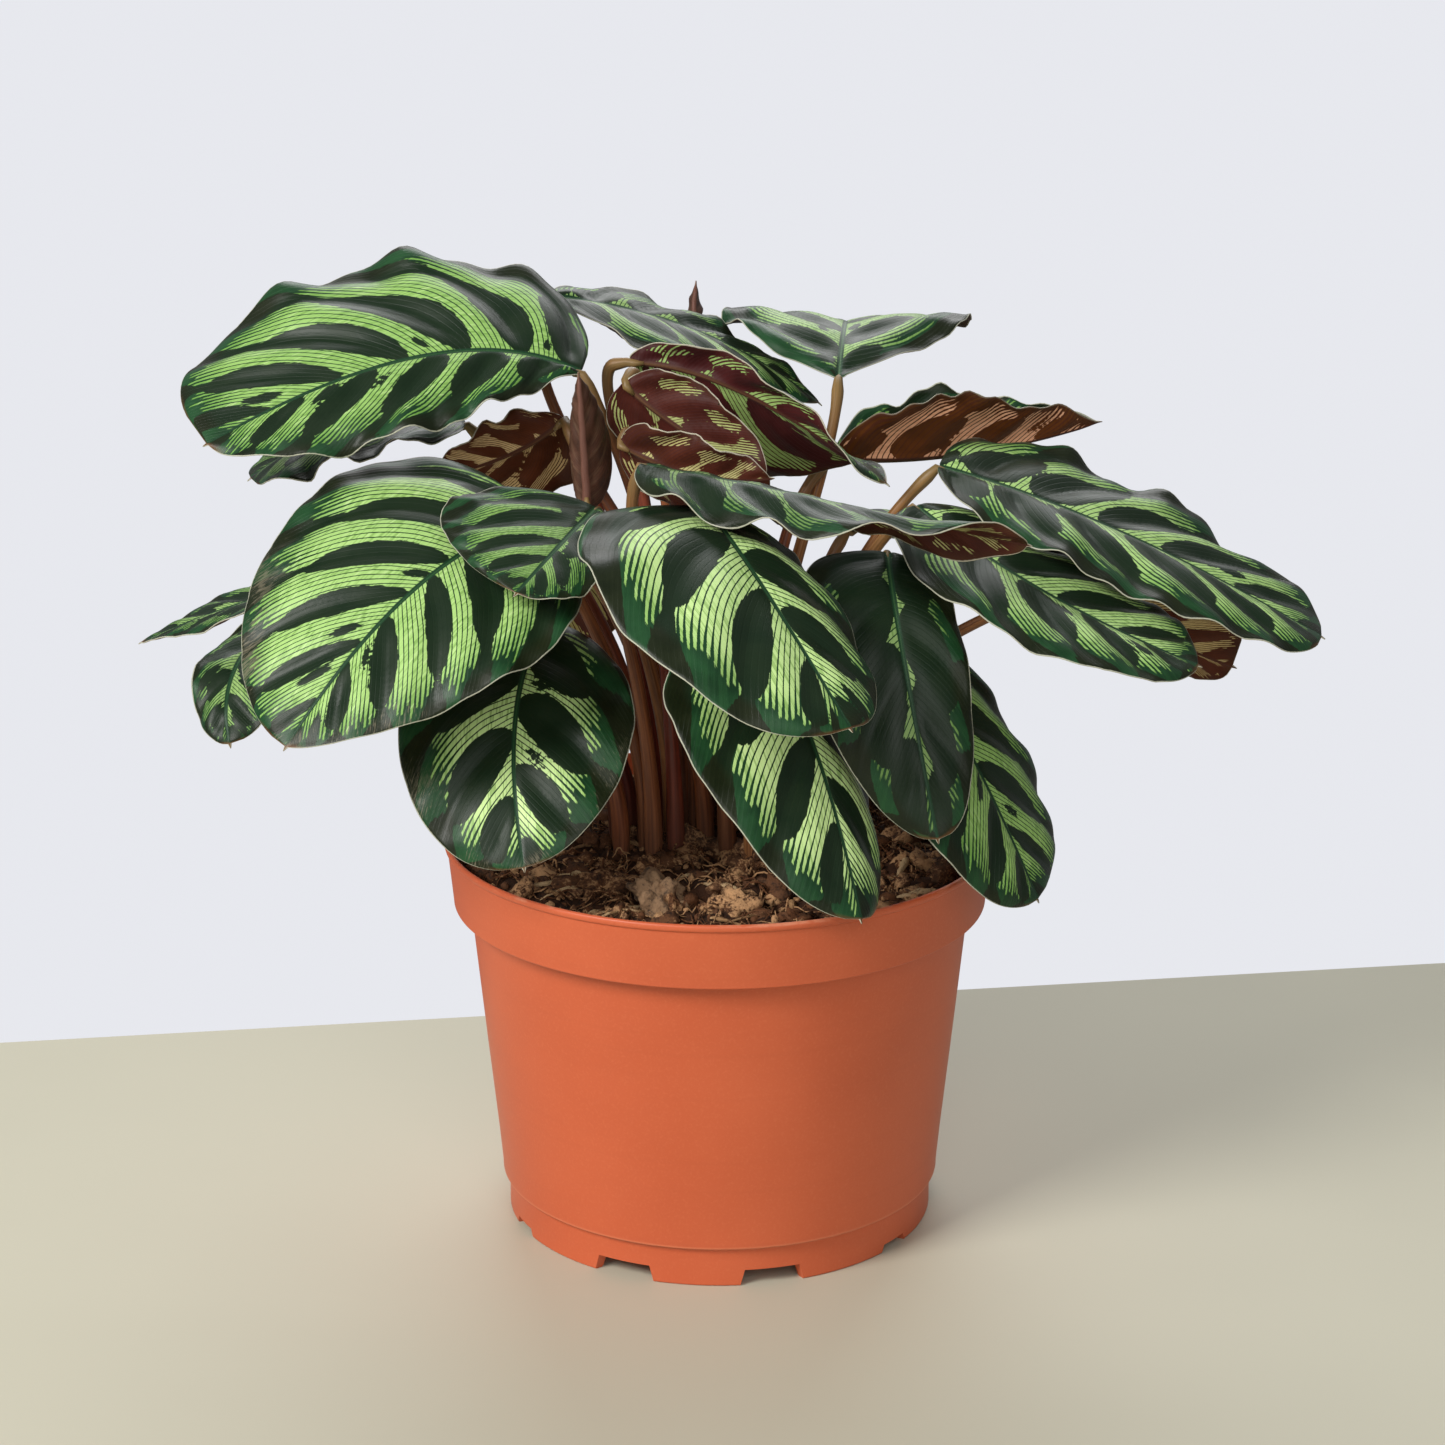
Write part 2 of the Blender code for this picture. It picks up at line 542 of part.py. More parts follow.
def main():
    clear_scene()
    parts = add_collection("potted_calathea")
    plant = add_object("potted_calathea", None, parts)
    add_pot(parts, plant)
    add_soil(parts, plant)
    for name, leaf in LEAVES.items():
        colour = (0.16, 0.06, 0.04) if name in BROWN_BLADES else (0.09, 0.22, 0.05)
        blade_green = add_material(f"{name}_surface", colour, 0.42)
        stalk_maroon = add_material(f"{name}_stalk_skin", (0.17, 0.05, 0.035), 0.5)
        add_blade(f"{name}_blade", leaf, parts, plant, blade_green)
        add_stalk(f"{name}_stalk", leaf, parts, plant, stalk_maroon)


main()
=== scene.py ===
"""Potted calathea: its looks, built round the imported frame.

Each leaf's blade and stalk, the pot and the soil are finer pieces over their solids. The veins,
the dark ovals and the bright bands between them are worked out on each blade as distances in
millimetres, and the materials draw them from these.
"""
import math
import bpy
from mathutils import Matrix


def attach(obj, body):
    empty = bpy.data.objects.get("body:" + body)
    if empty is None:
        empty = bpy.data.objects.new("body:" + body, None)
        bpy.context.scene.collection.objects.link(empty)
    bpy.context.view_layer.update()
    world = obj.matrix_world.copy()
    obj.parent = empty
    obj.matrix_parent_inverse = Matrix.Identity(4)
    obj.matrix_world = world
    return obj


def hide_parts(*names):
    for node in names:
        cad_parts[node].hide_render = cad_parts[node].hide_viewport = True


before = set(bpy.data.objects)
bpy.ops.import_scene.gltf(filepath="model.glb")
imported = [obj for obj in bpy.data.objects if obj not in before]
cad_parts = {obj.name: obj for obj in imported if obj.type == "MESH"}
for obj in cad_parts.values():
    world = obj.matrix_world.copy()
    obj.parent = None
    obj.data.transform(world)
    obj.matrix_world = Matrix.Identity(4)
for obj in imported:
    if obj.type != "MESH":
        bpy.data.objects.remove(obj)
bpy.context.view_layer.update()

from types import SimpleNamespace

import bmesh
import bpy
import numpy as np
from mathutils import Matrix, Vector, noise

MM = 0.001

# Camera and stage
LENS = 88.73
SENSOR = 36.0
LOOK_AT = Vector((0.8, 0, 140.6)) * MM
CAMERA_DISTANCE = 975 * MM
CAMERA_ELEVATION = math.radians(17.14)
TABLE_EDGE_MIDDLE = 146.8 * MM
TABLE_EDGE_SLOPE = 0.1494
TABLE_REACH = 1.6
TABLE_THICKNESS = 0.03
TABLE_COLOUR = (0.54, 0.52, 0.407)
WALL_COLOUR = (0.8, 0.81, 0.855)
AMBIENT_COLOUR = (0.95, 0.97, 1.0)
AMBIENT_STRENGTH = 0.23
LIGHT_AIM = Vector((0, 0, 0.15))
# name: place, size, watts, colour
LIGHTS = {
    "key_light": ((-0.9, -0.85, 1.0), 0.55, 19.5, (1.0, 0.98, 0.95)),
    "back_light": ((0.1, 1.4, 1.25), 1.3, 17.0, (1.0, 1.0, 1.0)),
    "front_light": ((0.2, -1.6, 0.95), 1.0, 8.0, (1.0, 0.99, 0.97)),
}

# Blades, in millimetres
BASE_EDGE = 1.6
TIP_EDGE = 0.5
WAVE_SLANT = 0.18
ROW_STEP = 1.15
ROW_EVENNESS = 0.35
COLUMN_STEP = 1.25
COLUMN_POWER = 1.2
HALF_THICKNESS = 0.25
EDGE_SHARE = 0.6
EDGE_REACH = 3.0
RIM_OUT = 0.1
DRIP_TIP_LENGTH = 1.3
DRIP_TIP_ROWS = 4
DRIP_TIP_TAPER = 0.88
RIB_RADIUS = 1.0
RIB_HEIGHT = (1.15, 0.25)
RIB_GROOVE = 0.4
RIB_HALF_WIDTH = 0.8
ROLLED_HEADING = np.array((0, -1, 0))
# Small waves along the edge: the count of the fast ones, and the slow ones against them
EDGE_RIPPLES = 8
SLOW_RIPPLES = 0.43
FAST_SHARE = 0.4
SLOW_SHARE = 0.6

# Markings
VEINS_PER_CELL = 11
VEIN_LEAN = (0.1, 1.25, 0.8)
VEIN_BEND = 0.75
VEIN_SEARCH = (-0.9, 1.05, 26)
# How raggedly the bands end: in millimetres at most, and as a share of the blade's width
LARGEST_BREAK = 10.0
BREAK_SHARE = 0.22
# Bright bands: first and last place along a blade, and share of the border left at its ends
BANDS_FROM = 0.16
BANDS_TO = 0.965
BORDER_AT_ENDS = 0.45
# Folds between the main veins: greatest depth as a share of their distance, and middle height
PLEAT_SHARE = 0.16
PLEAT_MIDDLE = 0.6
# Dark ovals: where they end across a half, and how far they vary
OVAL_END = (0.6, 0.74)
OVAL_JITTER = 0.06
OVAL_SPREAD = 0.15
OVAL_POWERS = (0.46, 0.5)
# Small dark spots between the ovals, in millimetres
SPOT_CHANCE = 0.5
SPOT_PLACE = (3, 6)
SPOT_LENGTH = (1.6, 3.2)
SPOT_WIDTH = (0.9, 1.6)
FAR_OUTSIDE = -50.0

# Stalks, in millimetres
STALK_LOW = 92.0
STALK_STRAIGHT = 19.0
STALK_RISE = 0.42
STALK_KNEE = 4.4
STALK_RADII = (2.2, 1.4)
STALK_END_RADII = (1.3, 1.15, 0.5)
# Wider parts: extra radius, place and length, from the foot and from the blade
STALK_SHEATH = (0.5, 20, 16)
STALK_JOINT = (0.3, 9, 4)
SHEATH_FROM = 17
STALK_SIDES = 14
STALK_STEPS = 44

# Pot
POT_SIDES = 180
NOTCH_COUNT = 9
FIRST_NOTCH_ANGLE = math.radians(14.0)
# From the middle of the inner floor, over the rim, to the middle of the underside: points as
# radius and height, and bends as a centre, a size, two angles and a count of points
POT_OUTLINE = (
    (0, 7), (30, 7), (57, 7), (57, 9, 2.4, -80, -10, 5), (59.5, 11.5), (63.4, 50), (67.4, 91),
    (68.4, 91.8, 0.9, 170, 90, 4), (71.4, 92.7), (71.6, 93.2, 0.5, -80, 0, 3), (73.6, 105.5),
    (75.25, 108.75, 0.75, 180, 0, 9), (76, 108.3), (75.4, 108, 0.5, -20, -80, 4),
    (75.15, 107.2), (74.3, 99), (73.62, 92), (73.1, 91.5, 0.5, 10, -80, 5), (71, 90.95),
    (69.6, 90.9), (69.35, 90.5, 0.4, 100, 180, 3), (68.2, 82), (65, 50), (62.3, 24),
    (61.35, 13.5), (60.9, 11.9, 0.42, 0, -85, 5), (60.1, 11.42), (59.75, 11.3),
    (59.9, 10.95, 0.35, 130, 190, 3), (59.5, 6), (59.5, 0.6), (59, 0.5, 0.5, 0, -90, 4),
    (57.6, 0), (57.3, 0.5, 0.5, -90, -180, 4), (56.6, 4.4), (56.1, 4.5, 0.5, 0, 90, 3),
    (30, 5), (0, 5))
# height, and the width outside and inside
DEEP_NOTCH = (4.6, 20.0, 13.0)
SHALLOW_NOTCH = (2.3, 12.0, 9.0)
NOTCH_REACH = (54.0, 63.0)
NOTCH_SLOPE = 0.8
DRAIN_HOLES = 5
DRAIN_HOLE_RADIUS = 4.5
DRAIN_CIRCLE_RADIUS = 40.0
DRAIN_MIDDLE = 6.0
DRAIN_DEPTH = 6.0

# Slopes, wave height and count of waves of a side where it sets none of its own
PLAIN_SIDE = (6, -14, 1, 3)
# Markings of a blade where a leaf sets none of its own.
# cells: dark ovals on each side. lean: how far the veins run ahead. oval: half thickness of an
# oval, as a share of the space between two. margin: plain green border, as a share of the width.
# bright and pale: brightness of the bands, and how yellow they are; partly each leaf's own
# colour, and partly painted light and shade set per leaf for how lit it is, with dulled grey
# bands as painted shade and sheen. pink: how pink they are underneath, partly painted light
# shining through backlit leaves. wear: brown and grey patches. pleat and ripple: height of the
# folds between the main veins, and of the small waves along the edge, in millimetres.
PLAIN_LOOK = dict(cells=5, lean=1.0, oval=0.32, margin=0.2, bright=1.0, pale=0.5, pink=0.3,
                  wear=0.0, pleat=1.5, ripple=0.45)


def side(values, phase):
    """One half of a blade: width in millimetres, two powers for its outline, slopes at midrib
    and edge in degrees, height and count of its waves, and their phase."""
    width, near, far, rise, droop, wave, waves, phase = (
        values + (*PLAIN_SIDE, phase)[len(values) - 3:])
    return SimpleNamespace(width=width, near=near, far=far, rise=math.radians(rise),
                           droop=math.radians(droop), wave=wave, waves=waves, phase=phase)


def leaf(foot, base, mid, tip, left, right, roll=(0, 0), lift=1.0, arrive=None, bow=0.26,
         sweep=(0, 0), rolled=False, **marks):
    """A leaf, with the same values as its solids, in millimetres and degrees."""
    base, mid, tip = (np.array(point, float) for point in (base, mid, tip))
    heading = ROLLED_HEADING if rolled else (tip - base) * (1, 1, 0)
    heading = heading / np.linalg.norm(heading)
    arrive = np.array(arrive or (heading[0], heading[1], lift), float)
    arrive /= np.linalg.norm(arrive)
    if len(roll) == 2:
        roll = (roll[0], sum(roll) / 2, roll[1])
    return SimpleNamespace(foot=foot, base=base, mid=mid, tip=tip, left=side(left, 0),
                           right=side(right, 0.5), roll=roll, arrive=arrive, bow=bow,
                           heading=heading, sweep=sweep, rolled=rolled,
                           marks=SimpleNamespace(**{**PLAIN_LOOK, **marks}))


LEAVES = {
    "leaf_01": leaf(
        (-10, 2), (-37, 1, 238), (-79, -4, 243), (-134, -20, 223),
        (23, 0.8, 0.6, 0, -24, 1.5, 3.2), (44, 0.33, 0.3, 14, -20, 3, 3.7, 0.15), roll=(28, 32),
        lift=2, sweep=(0, 4), cells=6, lean=0.95, oval=0.33, margin=0.15, bright=0.85, pale=0.25,
        pleat=3.0, ripple=2.6),
    "leaf_02": leaf(
        (-20, -9), (-46, -22, 203), (-77, -52, 193), (-109, -77, 158),
        (38, 0.6, 0.75, 4), (46, 0.36, 0.5), roll=(24, 24), lift=2.5, sweep=(-6, 0), cells=6, lean=0.9,
        oval=0.3, margin=0.12, wear=0.3, pale=0.4, pleat=1.6, ripple=0.8),
    "leaf_03": leaf(
        (-27, -10), (-46, -16, 174), (-53, -47, 156), (-50, -72, 124),
        (31, 0.5, 0.5), (31, 0.4, 0.42), cells=4, lean=0.8, oval=0.4, margin=0.3, wear=0.4, pale=0.95,
        pleat=1.6),
    "leaf_04": leaf(
        (-18, -15), (-32, -28, 208), (-41, -50, 203), (-51, -66, 195),
        (15, 0.7, 0.5), (34, 0.4, 0.5), roll=(18, 14), lift=3, lean=0.9, oval=0.36, bright=0.7,
        pale=0.3, pleat=1.4, ripple=0.9),
    "leaf_05": leaf(
        (2, -17), (-4, -37, 210), (9, -68, 200), (32, -100, 170),
        (25, 0.5, 0.4, 6, -40), (42, 0.4, 0.5, 6, -22, 2), roll=(8, 0), lift=0.4, sweep=(-6, 2),
        cells=4, lean=0.9, oval=0.36, bright=1.3, pale=0.8, ripple=0.7),
    "leaf_06": leaf(
        (9, -22), (6, -32, 177), (22, -53, 157), (36, -80, 113),
        (26, 0.45, 0.38, -10, -60), (36, 0.35, 0.5), cells=4, lean=0.9, oval=0.34, bright=1.4,
        pale=1.0),
    "leaf_07": leaf(
        (24, -11), (46, -20, 176), (66, -40, 144), (84, -46, 106),
        (31, 0.4, 0.3, 6, -24), (30, 0.35, 0.5, 6, -30), lean=0.95, margin=0.18, pale=0.3),
    "leaf_08": leaf(
        (10, -14), (44, -29, 196), (47, -50, 176), (56, -67, 130),
        (17, 0.4, 0.4, 6, -24), (26, 0.35, 0.5), roll=(0, -20), cells=4, lean=0.9, oval=0.6,
        margin=0.3, bright=0.6, pale=0.6, ripple=0.6),
    "leaf_09": leaf(
        (19, -5), (52, -14, 205), (85, -36, 187), (124, -45, 170),
        (32, 0.4, 0.4, 6, -14, 1.5), (27, 0.4, 0.55, 6, -14, 1.5), roll=(-7, -7), oval=0.36,
        bright=1.1, pale=0.55, pleat=1.8, ripple=0.9),
    "leaf_10": leaf(
        (19, 2), (59, 2, 212), (107, -6, 196), (161, -14, 169),
        (34, 0.3, 0.36, 6, -10, 2), (28, 0.5, 0.4, 6, -14, 2), roll=(-14, -8), cells=6, oval=0.42,
        bright=0.95, pleat=2.2, ripple=2.2),
    "leaf_11": leaf(
        (12, 0), (31, 22, 210), (66, 30, 209), (105, 38, 216),
        (18, 0.6, 0.9, 74, 84, 1.5, 2.5, 0.5), (22, 0.6, 0.9, 60, 60, 1.5, 2.5), cells=4, oval=0.38,
        margin=0.1, pink=1.0, ripple=1.8),
    "leaf_12": leaf(
        (10, 12), (33, 42, 228), (36, 76, 237), (38, 100, 226),
        (36, 0.8, 0.6, 10, -6, 2, 2.5), (36, 0.8, 0.6, 10, -6, 2, 2.5), bright=0.75, pleat=2.2,
        ripple=1.1),
    "leaf_13": leaf(
        (3, 11), (-46, 52, 249), (-6, 62, 237), (28, 60, 217),
        (14, 0.4, 0.6, 6, -6, 2, 3.5), (28, 0.4, 0.6, 6, -6, 2), roll=(-10, -10), lift=2, cells=6,
        oval=0.4, bright=0.75, pleat=2.2, ripple=1.2),
    "leaf_14": leaf(
        (-4, 9), (-24, 14, 238), (6, 4, 232), (44, -14, 211),
        (38, 0.36, 0.75, 10, 10, 2), (9, 0.5, 0.4, 0, -20, 2.5), roll=(80, 80, 10),
        arrive=(0.9, -0.3, 0.2), bow=0.13, oval=0.42, margin=0.08, pink=0.0, pleat=1.2, ripple=1.2),
    "leaf_15": leaf(
        (-6, -3), (-25, -8, 237), (-11, -12, 226), (12, -22, 214),
        (16, 0.4, 0.5, 10, 10, 2), (13, 0.5, 0.5, 0, 0, 1.5, 2.5), roll=(92, 92),
        arrive=(-0.35, -0.93, -0.3), bow=0.13, cells=4, lean=1.3, oval=0.46, margin=0.12, pink=0.2,
        pleat=1.2, ripple=0.9),
    "leaf_16": leaf(
        (-12, -12), (-26, -18, 223), (-7, -28, 217), (13, -34, 217),
        (14, 0.35, 0.5, 10, 10), (11, 0.4, 0.6, 0, 0, 2, 2.5), roll=(75, 75),
        arrive=(-0.37, -0.89, -0.35), bow=0.1, cells=4, lean=1.3, oval=0.46, margin=0.12, pink=0.35,
        ripple=1.0),
    "leaf_17": leaf(
        (-4, -10), (-20, -33, 221), (24, -50, 216), (78, -56, 205),
        (13, 0.4, 0.5, -24, -50, 1.5, 4), (17, 0.4, 0.5, -10, -18, 3, 4, 0.3), roll=(0, -4, 60),
        lift=3, cells=7, oval=0.42, bright=0.5, pale=0.6, pleat=1.6, ripple=1.3),
    "leaf_18": leaf(
        (-15, 11), (-70, 28, 218), (-102, 24, 217), (-128, 18, 205),
        (26, 0.4, 0.3, 6, -14, 2), (26, 0.4, 0.3, 6, -14, 2), oval=0.42, bright=0.55, pale=0.6,
        pleat=2.0, ripple=1.2),
    "leaf_19": leaf(
        (-25, 6), (-80, 22, 180), (-121, 22, 172), (-162, 30, 155),
        (15, 0.6, 0.7, 6, 0), (15, 0.6, 0.7, 6, -10), roll=(8, 8), cells=7, oval=0.36, bright=0.7),
    "leaf_20": leaf(
        (-28, -2), (-119, 14, 167), (-130, -14, 160), (-130, -30, 144),
        (15, 0.5, 0.4, 6, -14, 1.5, 2), (11, 0.4, 0.5, 6, -14, 2, 2), cells=4, oval=0.36, bright=0.7),
    "leaf_21": leaf(
        (-17, 4), (-42, 8, 224), (-56, 10, 214), (-76, 8, 208),
        (12, 0.5, 0.5, 0, 0, 2), (22, 0.5, 0.5, 20, 0, 2), roll=(-70, -60), arrive=(-0.35, 0.75, 0.6),
        bow=0.12, oval=0.44, margin=0.1, pink=0.6),
    "leaf_22": leaf(
        (26, 5), (90, 14, 174), (115, 8, 165), (140, 2, 156),
        (14, 0.5, 0.4, 20, 0, 1, 2), (17, 0.5, 0.22, 0, 0, 1, 2), roll=(50, 70), lift=0.5, oval=0.42,
        margin=0.12, pink=0.5),
    "leaf_23": leaf(
        (-20, 18), (-50, 36, 188), (-78, 60, 182), (-100, 80, 154),
        (28, 0.4, 0.45, 6, -14, 2), (34, 0.4, 0.45, 6, -14, 2), oval=0.34, pale=0.4),
    "leaf_24": leaf(
        (-11, 24), (-28, 40, 172), (-43, 77, 165), (-54, 104, 128),
        (34, 0.4, 0.45, 6, -14, 1.5), (34, 0.4, 0.45, 6, -14, 1.5), pale=0.4),
    "leaf_25": leaf(
        (5, 25), (14, 40, 168), (24, 72, 150), (30, 88, 112),
        (30, 0.4, 0.45, 6, -14, 1.5), (30, 0.4, 0.45, 6, -14, 1.5), cells=4, oval=0.34),
    "leaf_26": leaf(
        (14, 19), (36, 36, 186), (66, 64, 178), (88, 84, 144),
        (33, 0.4, 0.45, 6, -14, 1.5), (33, 0.4, 0.45, 6, -14, 1.5), oval=0.34, pale=0.4),
    "rolled_leaf_01": leaf(
        (-3, 20), (-8, 66, 196), (-8, 84, 224), (-7, 97, 244),
        (9, 0.6, 0.8, 30, 100, 0), (9, 0.6, 0.8, 30, 100, 0, 3, 0), arrive=(-0.1, 0.75, 0.65),
        rolled=True),
    "rolled_leaf_02": leaf(
        (-13, -6), (-35, -12, 203), (-36, -11.5, 222), (-37, -11, 239),
        (14, 0.45, 0.9, 30, 90, 0), (8, 0.5, 0.9, 30, 90, 0, 3, 0), arrive=(-0.4, -0.2, 0.9),
        rolled=True),
}


# Small helpers

def smooth(value, low, high):
    share = np.clip((value - low) / (high - low), 0, 1)
    return share * share * (3 - 2 * share)


def unit(vectors):
    return vectors / np.maximum(np.linalg.norm(vectors, axis=-1, keepdims=True), 1e-9)


def quadratic(start, middle, end, s):
    handle = 2 * middle - 0.5 * (start + end)
    return (1 - s) ** 2 * start + 2 * s * (1 - s) * handle + s * s * end


def ring_quads(rings, sides, first=0):
    """The four points of each face between rings of points."""
    low = first + np.arange(rings - 1)[:, None] * sides + np.arange(sides)
    beside = np.roll(low, -1, axis=1)
    return np.stack((low, low + sides, beside + sides, beside), axis=-1).reshape(-1, 4)


def ring_points(radius, sides):
    angles = [2 * math.pi * k / sides for k in range(sides)]
    return [(radius * math.cos(angle), radius * math.sin(angle)) for angle in angles]


def new_object(name, mesh):
    obj = bpy.data.objects.new(name, mesh)
    bpy.context.scene.collection.objects.link(obj)
    return obj


def mesh_from(name, points, faces, materials, face_slots=None):
    """A smooth mesh from points in millimetres."""
    mesh = bpy.data.meshes.new(name)
    mesh.from_pydata((np.asarray(points) * MM).tolist(), [], faces)
    for material in materials:
        mesh.materials.append(material)
    if face_slots is not None:
        mesh.polygons.foreach_set("material_index", face_slots)
    mesh.shade_smooth()
    return mesh


def add_vectors(mesh, name, values):
    attribute = mesh.attributes.new(name, "FLOAT_VECTOR", "POINT")
    attribute.data.foreach_set("vector", np.asarray(values, np.float32).ravel())


# Blade forms

def half_width(edge, s):
    share = edge.near / (edge.near + edge.far)
    peak = share ** edge.near * (1 - share) ** edge.far
    curve = edge.width * s ** edge.near * (1 - s) ** edge.far / peak
    return np.hypot(curve, BASE_EDGE * (1 - s) + TIP_EDGE * s)


def arc(edge, across):
    turn = edge.droop - edge.rise
    if abs(turn) < 0.0001:
        return across * math.cos(edge.rise), across * math.sin(edge.rise)
    angle = edge.rise + turn * across
    out = (np.sin(angle) - math.sin(edge.rise)) / turn
    return out, (math.cos(edge.rise) - np.cos(angle)) / turn


def midrib_frame(blade, s):
    """Places on the midrib, with the directions along it, to its right and up."""
    s = s[:, None]
    base, mid, tip = blade.base, blade.mid, blade.tip
    handle = 2 * mid - 0.5 * (base + tip)
    place = quadratic(base, mid, tip, s)
    along = unit((1 - s) * (handle - base) + s * (tip - handle))
    flat_right = np.array((blade.heading[1], -blade.heading[0], 0))
    flat_right = unit(flat_right - along * (along @ flat_right)[:, None])
    flat_up = np.cross(flat_right, along)
    roll = np.radians(quadratic(*blade.roll, s))
    right = flat_right * np.cos(roll) + flat_up * np.sin(roll)
    up = flat_up * np.cos(roll) - flat_right * np.sin(roll)
    return place, along, right, up


def half_surface(blade, edge, sign, s, across, frame_rows):
    """Points of one half of a blade, as rows along it and columns across it."""
    place, along, right, up = frame_rows
    width = half_width(edge, s)[:, None]
    out, rise = arc(edge, across)
    fade = np.sqrt(np.clip(4 * s * (1 - s), 0, 1))[:, None]
    turns = edge.waves * (s[:, None] - WAVE_SLANT * across) + edge.phase
    ripple = edge.wave * across**2 * fade * np.sin(2 * math.pi * turns)
    # The offsets keep the waves of one half apart from those of the other.
    fast = EDGE_RIPPLES * s[:, None] + 1.7 * edge.phase + 0.3 * sign
    slow = SLOW_RIPPLES * fast + 2.9 * edge.phase + 0.2
    height = blade.marks.ripple * across**4
    ripple = ripple + height * fade * (FAST_SHARE * np.sin(2 * math.pi * fast)
                                       + SLOW_SHARE * np.sin(2 * math.pi * slow))
    body = np.clip(width / edge.width - 0.1, 0, 1)
    near, far = blade.sweep
    ahead = (near * (1 - s) ** 2 + far * s**2)[:, None] * across**2 * body
    return (place[:, None] + right[:, None] * (sign * width * out)[..., None]
            + up[:, None] * (width * rise + ripple)[..., None]
            + along[:, None] * ahead[..., None])


def blade_rows(blade):
    """Rows of a blade, closer at its ends, and the blade's length."""
    length = np.linalg.norm(blade.mid - blade.base)
    length += np.linalg.norm(blade.tip - blade.mid)
    count = max(16, round(length / ROW_STEP))
    even = np.linspace(0, 1, count + 1)
    close = (1 - np.cos(math.pi * even)) / 2
    return ROW_EVENNESS * even + (1 - ROW_EVENNESS) * close, length


def blade_columns(edge):
    count = max(8, round(edge.width / COLUMN_STEP))
    return np.linspace(0, 1, count + 1) ** COLUMN_POWER


# Markings

def vein_lean(start):
    """Slope of a vein where it leaves the midrib: across it at the base, along it at the tip."""
    return VEIN_LEAN[0] + VEIN_LEAN[1] * start + VEIN_LEAN[2] * np.maximum(start, 0) ** 2


def vein_start(marks, s, across, width, widest, length):
    """Where the vein through a point leaves the midrib, as a share of the blade's length."""
    out = across * width
    bend = VEIN_BEND * (out / widest) ** 2
    lowest, highest, halvings = VEIN_SEARCH
    low = np.full(out.shape, lowest)
    high = np.full(out.shape, highest)
    for _ in range(halvings):
        start = (low + high) / 2
        late = start * length + out * (vein_lean(start) * marks.lean + bend) > s * length
        high = np.where(late, start, high)
        low = np.where(late, low, start)
    return (low + high) / 2


def cell_size(cell, s, across, width, length):
    """Distance between two main veins at each point, in millimetres."""
    rows, columns = s[:, 0], across[0]
    by_s = np.gradient(cell, rows, axis=0)
    by_across = np.gradient(cell, columns, axis=1)
    narrowing = np.gradient(width[:, 0], rows)[:, None]
    along = (by_s - by_across * across * narrowing / width) / length
    return 1 / np.maximum(np.hypot(along, by_across / width), 0.02)


def spindle(share):
    """Thickness of an oval from the midrib out: pointed at the rib, blunt at its far end."""
    near, far = OVAL_POWERS
    top = near / (near + far)
    peak = top**near * (1 - top) ** far
    share = np.clip(share, 0, 1)
    return share**near * (1 - share) ** far / peak


def oval_distance(marks, cell, across, width, scale, draws):
    """Distance into the nearest dark oval or main vein in millimetres, negative outside."""
    best = np.full(cell.shape, FAR_OUTSIDE)
    out = across * width
    for index in range(-3, marks.cells + 2):
        centre = index + draws.uniform(-OVAL_JITTER, OVAL_JITTER)
        thick = marks.oval * draws.uniform(1 - OVAL_SPREAD, 1 + OVAL_SPREAD)
        thick *= 1.15 - 0.35 * smooth(index / marks.cells, 0.0, 1.0)
        end = draws.uniform(*OVAL_END)
        apart = np.abs(cell - centre)
        past = 0.8 * np.maximum(across - end, 0) * width
        best = np.maximum(best, (thick * spindle(across / end) - apart) * scale - past)
        # The dark streak that runs on from the oval to the border
        thin = 0.045 + 0.05 * smooth(across, 0.3, 0.6) + 0.22 * smooth(across, 0.68, 1.0)
        best = np.maximum(best, (thin * (0.3 + 2.2 * thick) - apart) * scale)
        half = index + 0.5 + draws.uniform(-0.15, 0.15)
        wanted = draws.uniform() < SPOT_CHANCE
        middle, reach, fat = (draws.uniform(*span)
                              for span in (SPOT_PLACE, SPOT_LENGTH, SPOT_WIDTH))
        if wanted:
            spot = 1 - np.hypot((out - middle) / reach, (cell - half) * scale / fat)
            best = np.maximum(best, spot * fat)
    return best


def half_markings(blade, edge, s, across, length, turn, draws):
    """Pleat height and the values that the materials read, in millimetres, for one half.

    turn: where the first oval lies along the midrib, in cells.
    """
    marks = blade.marks
    width = half_width(edge, s)[:, None]
    s, across = s[:, None], across[None, :]
    start = vein_start(marks, s, across, width, edge.width, length)
    cell = marks.cells * start + turn
    scale = cell_size(cell, s, across, width, length)
    spacing = 0.7 * length / marks.cells
    oval = oval_distance(marks, cell, across, width, scale, draws)
    bulge = np.sqrt(np.sin(math.pi * np.clip(s, 0, 1)))
    border = marks.margin * edge.width * (BORDER_AT_ENDS + (1 - BORDER_AT_ENDS) * bulge)
    inside = np.minimum((1 - across) * width - border, (start + BANDS_FROM) * length)
    inside = np.minimum(inside, (BANDS_TO - s) * length)
    fade = smooth(across, 0.0, 0.3) * (1 - 0.5 * smooth(across, 0.7, 1.0))
    fade = fade * smooth(start, -0.2, 0.1) * (1 - smooth(s, 0.86, 1.0))
    depth = np.minimum(marks.pleat, PLEAT_SHARE * scale)
    out = across * width
    values = dict(pleat=depth * (np.abs(np.sin(math.pi * cell)) - PLEAT_MIDDLE) * fade, out=out,
                  veins=cell * spacing, oval=oval, inside=inside, phase=cell * VEINS_PER_CELL,
                  edge=(1 - across) * width, past_rib=out - RIB_HALF_WIDTH * (1 - 0.6 * s),
                  gap=scale / VEINS_PER_CELL, along=s)
    return {key: np.broadcast_to(value, cell.shape) for key, value in values.items()}


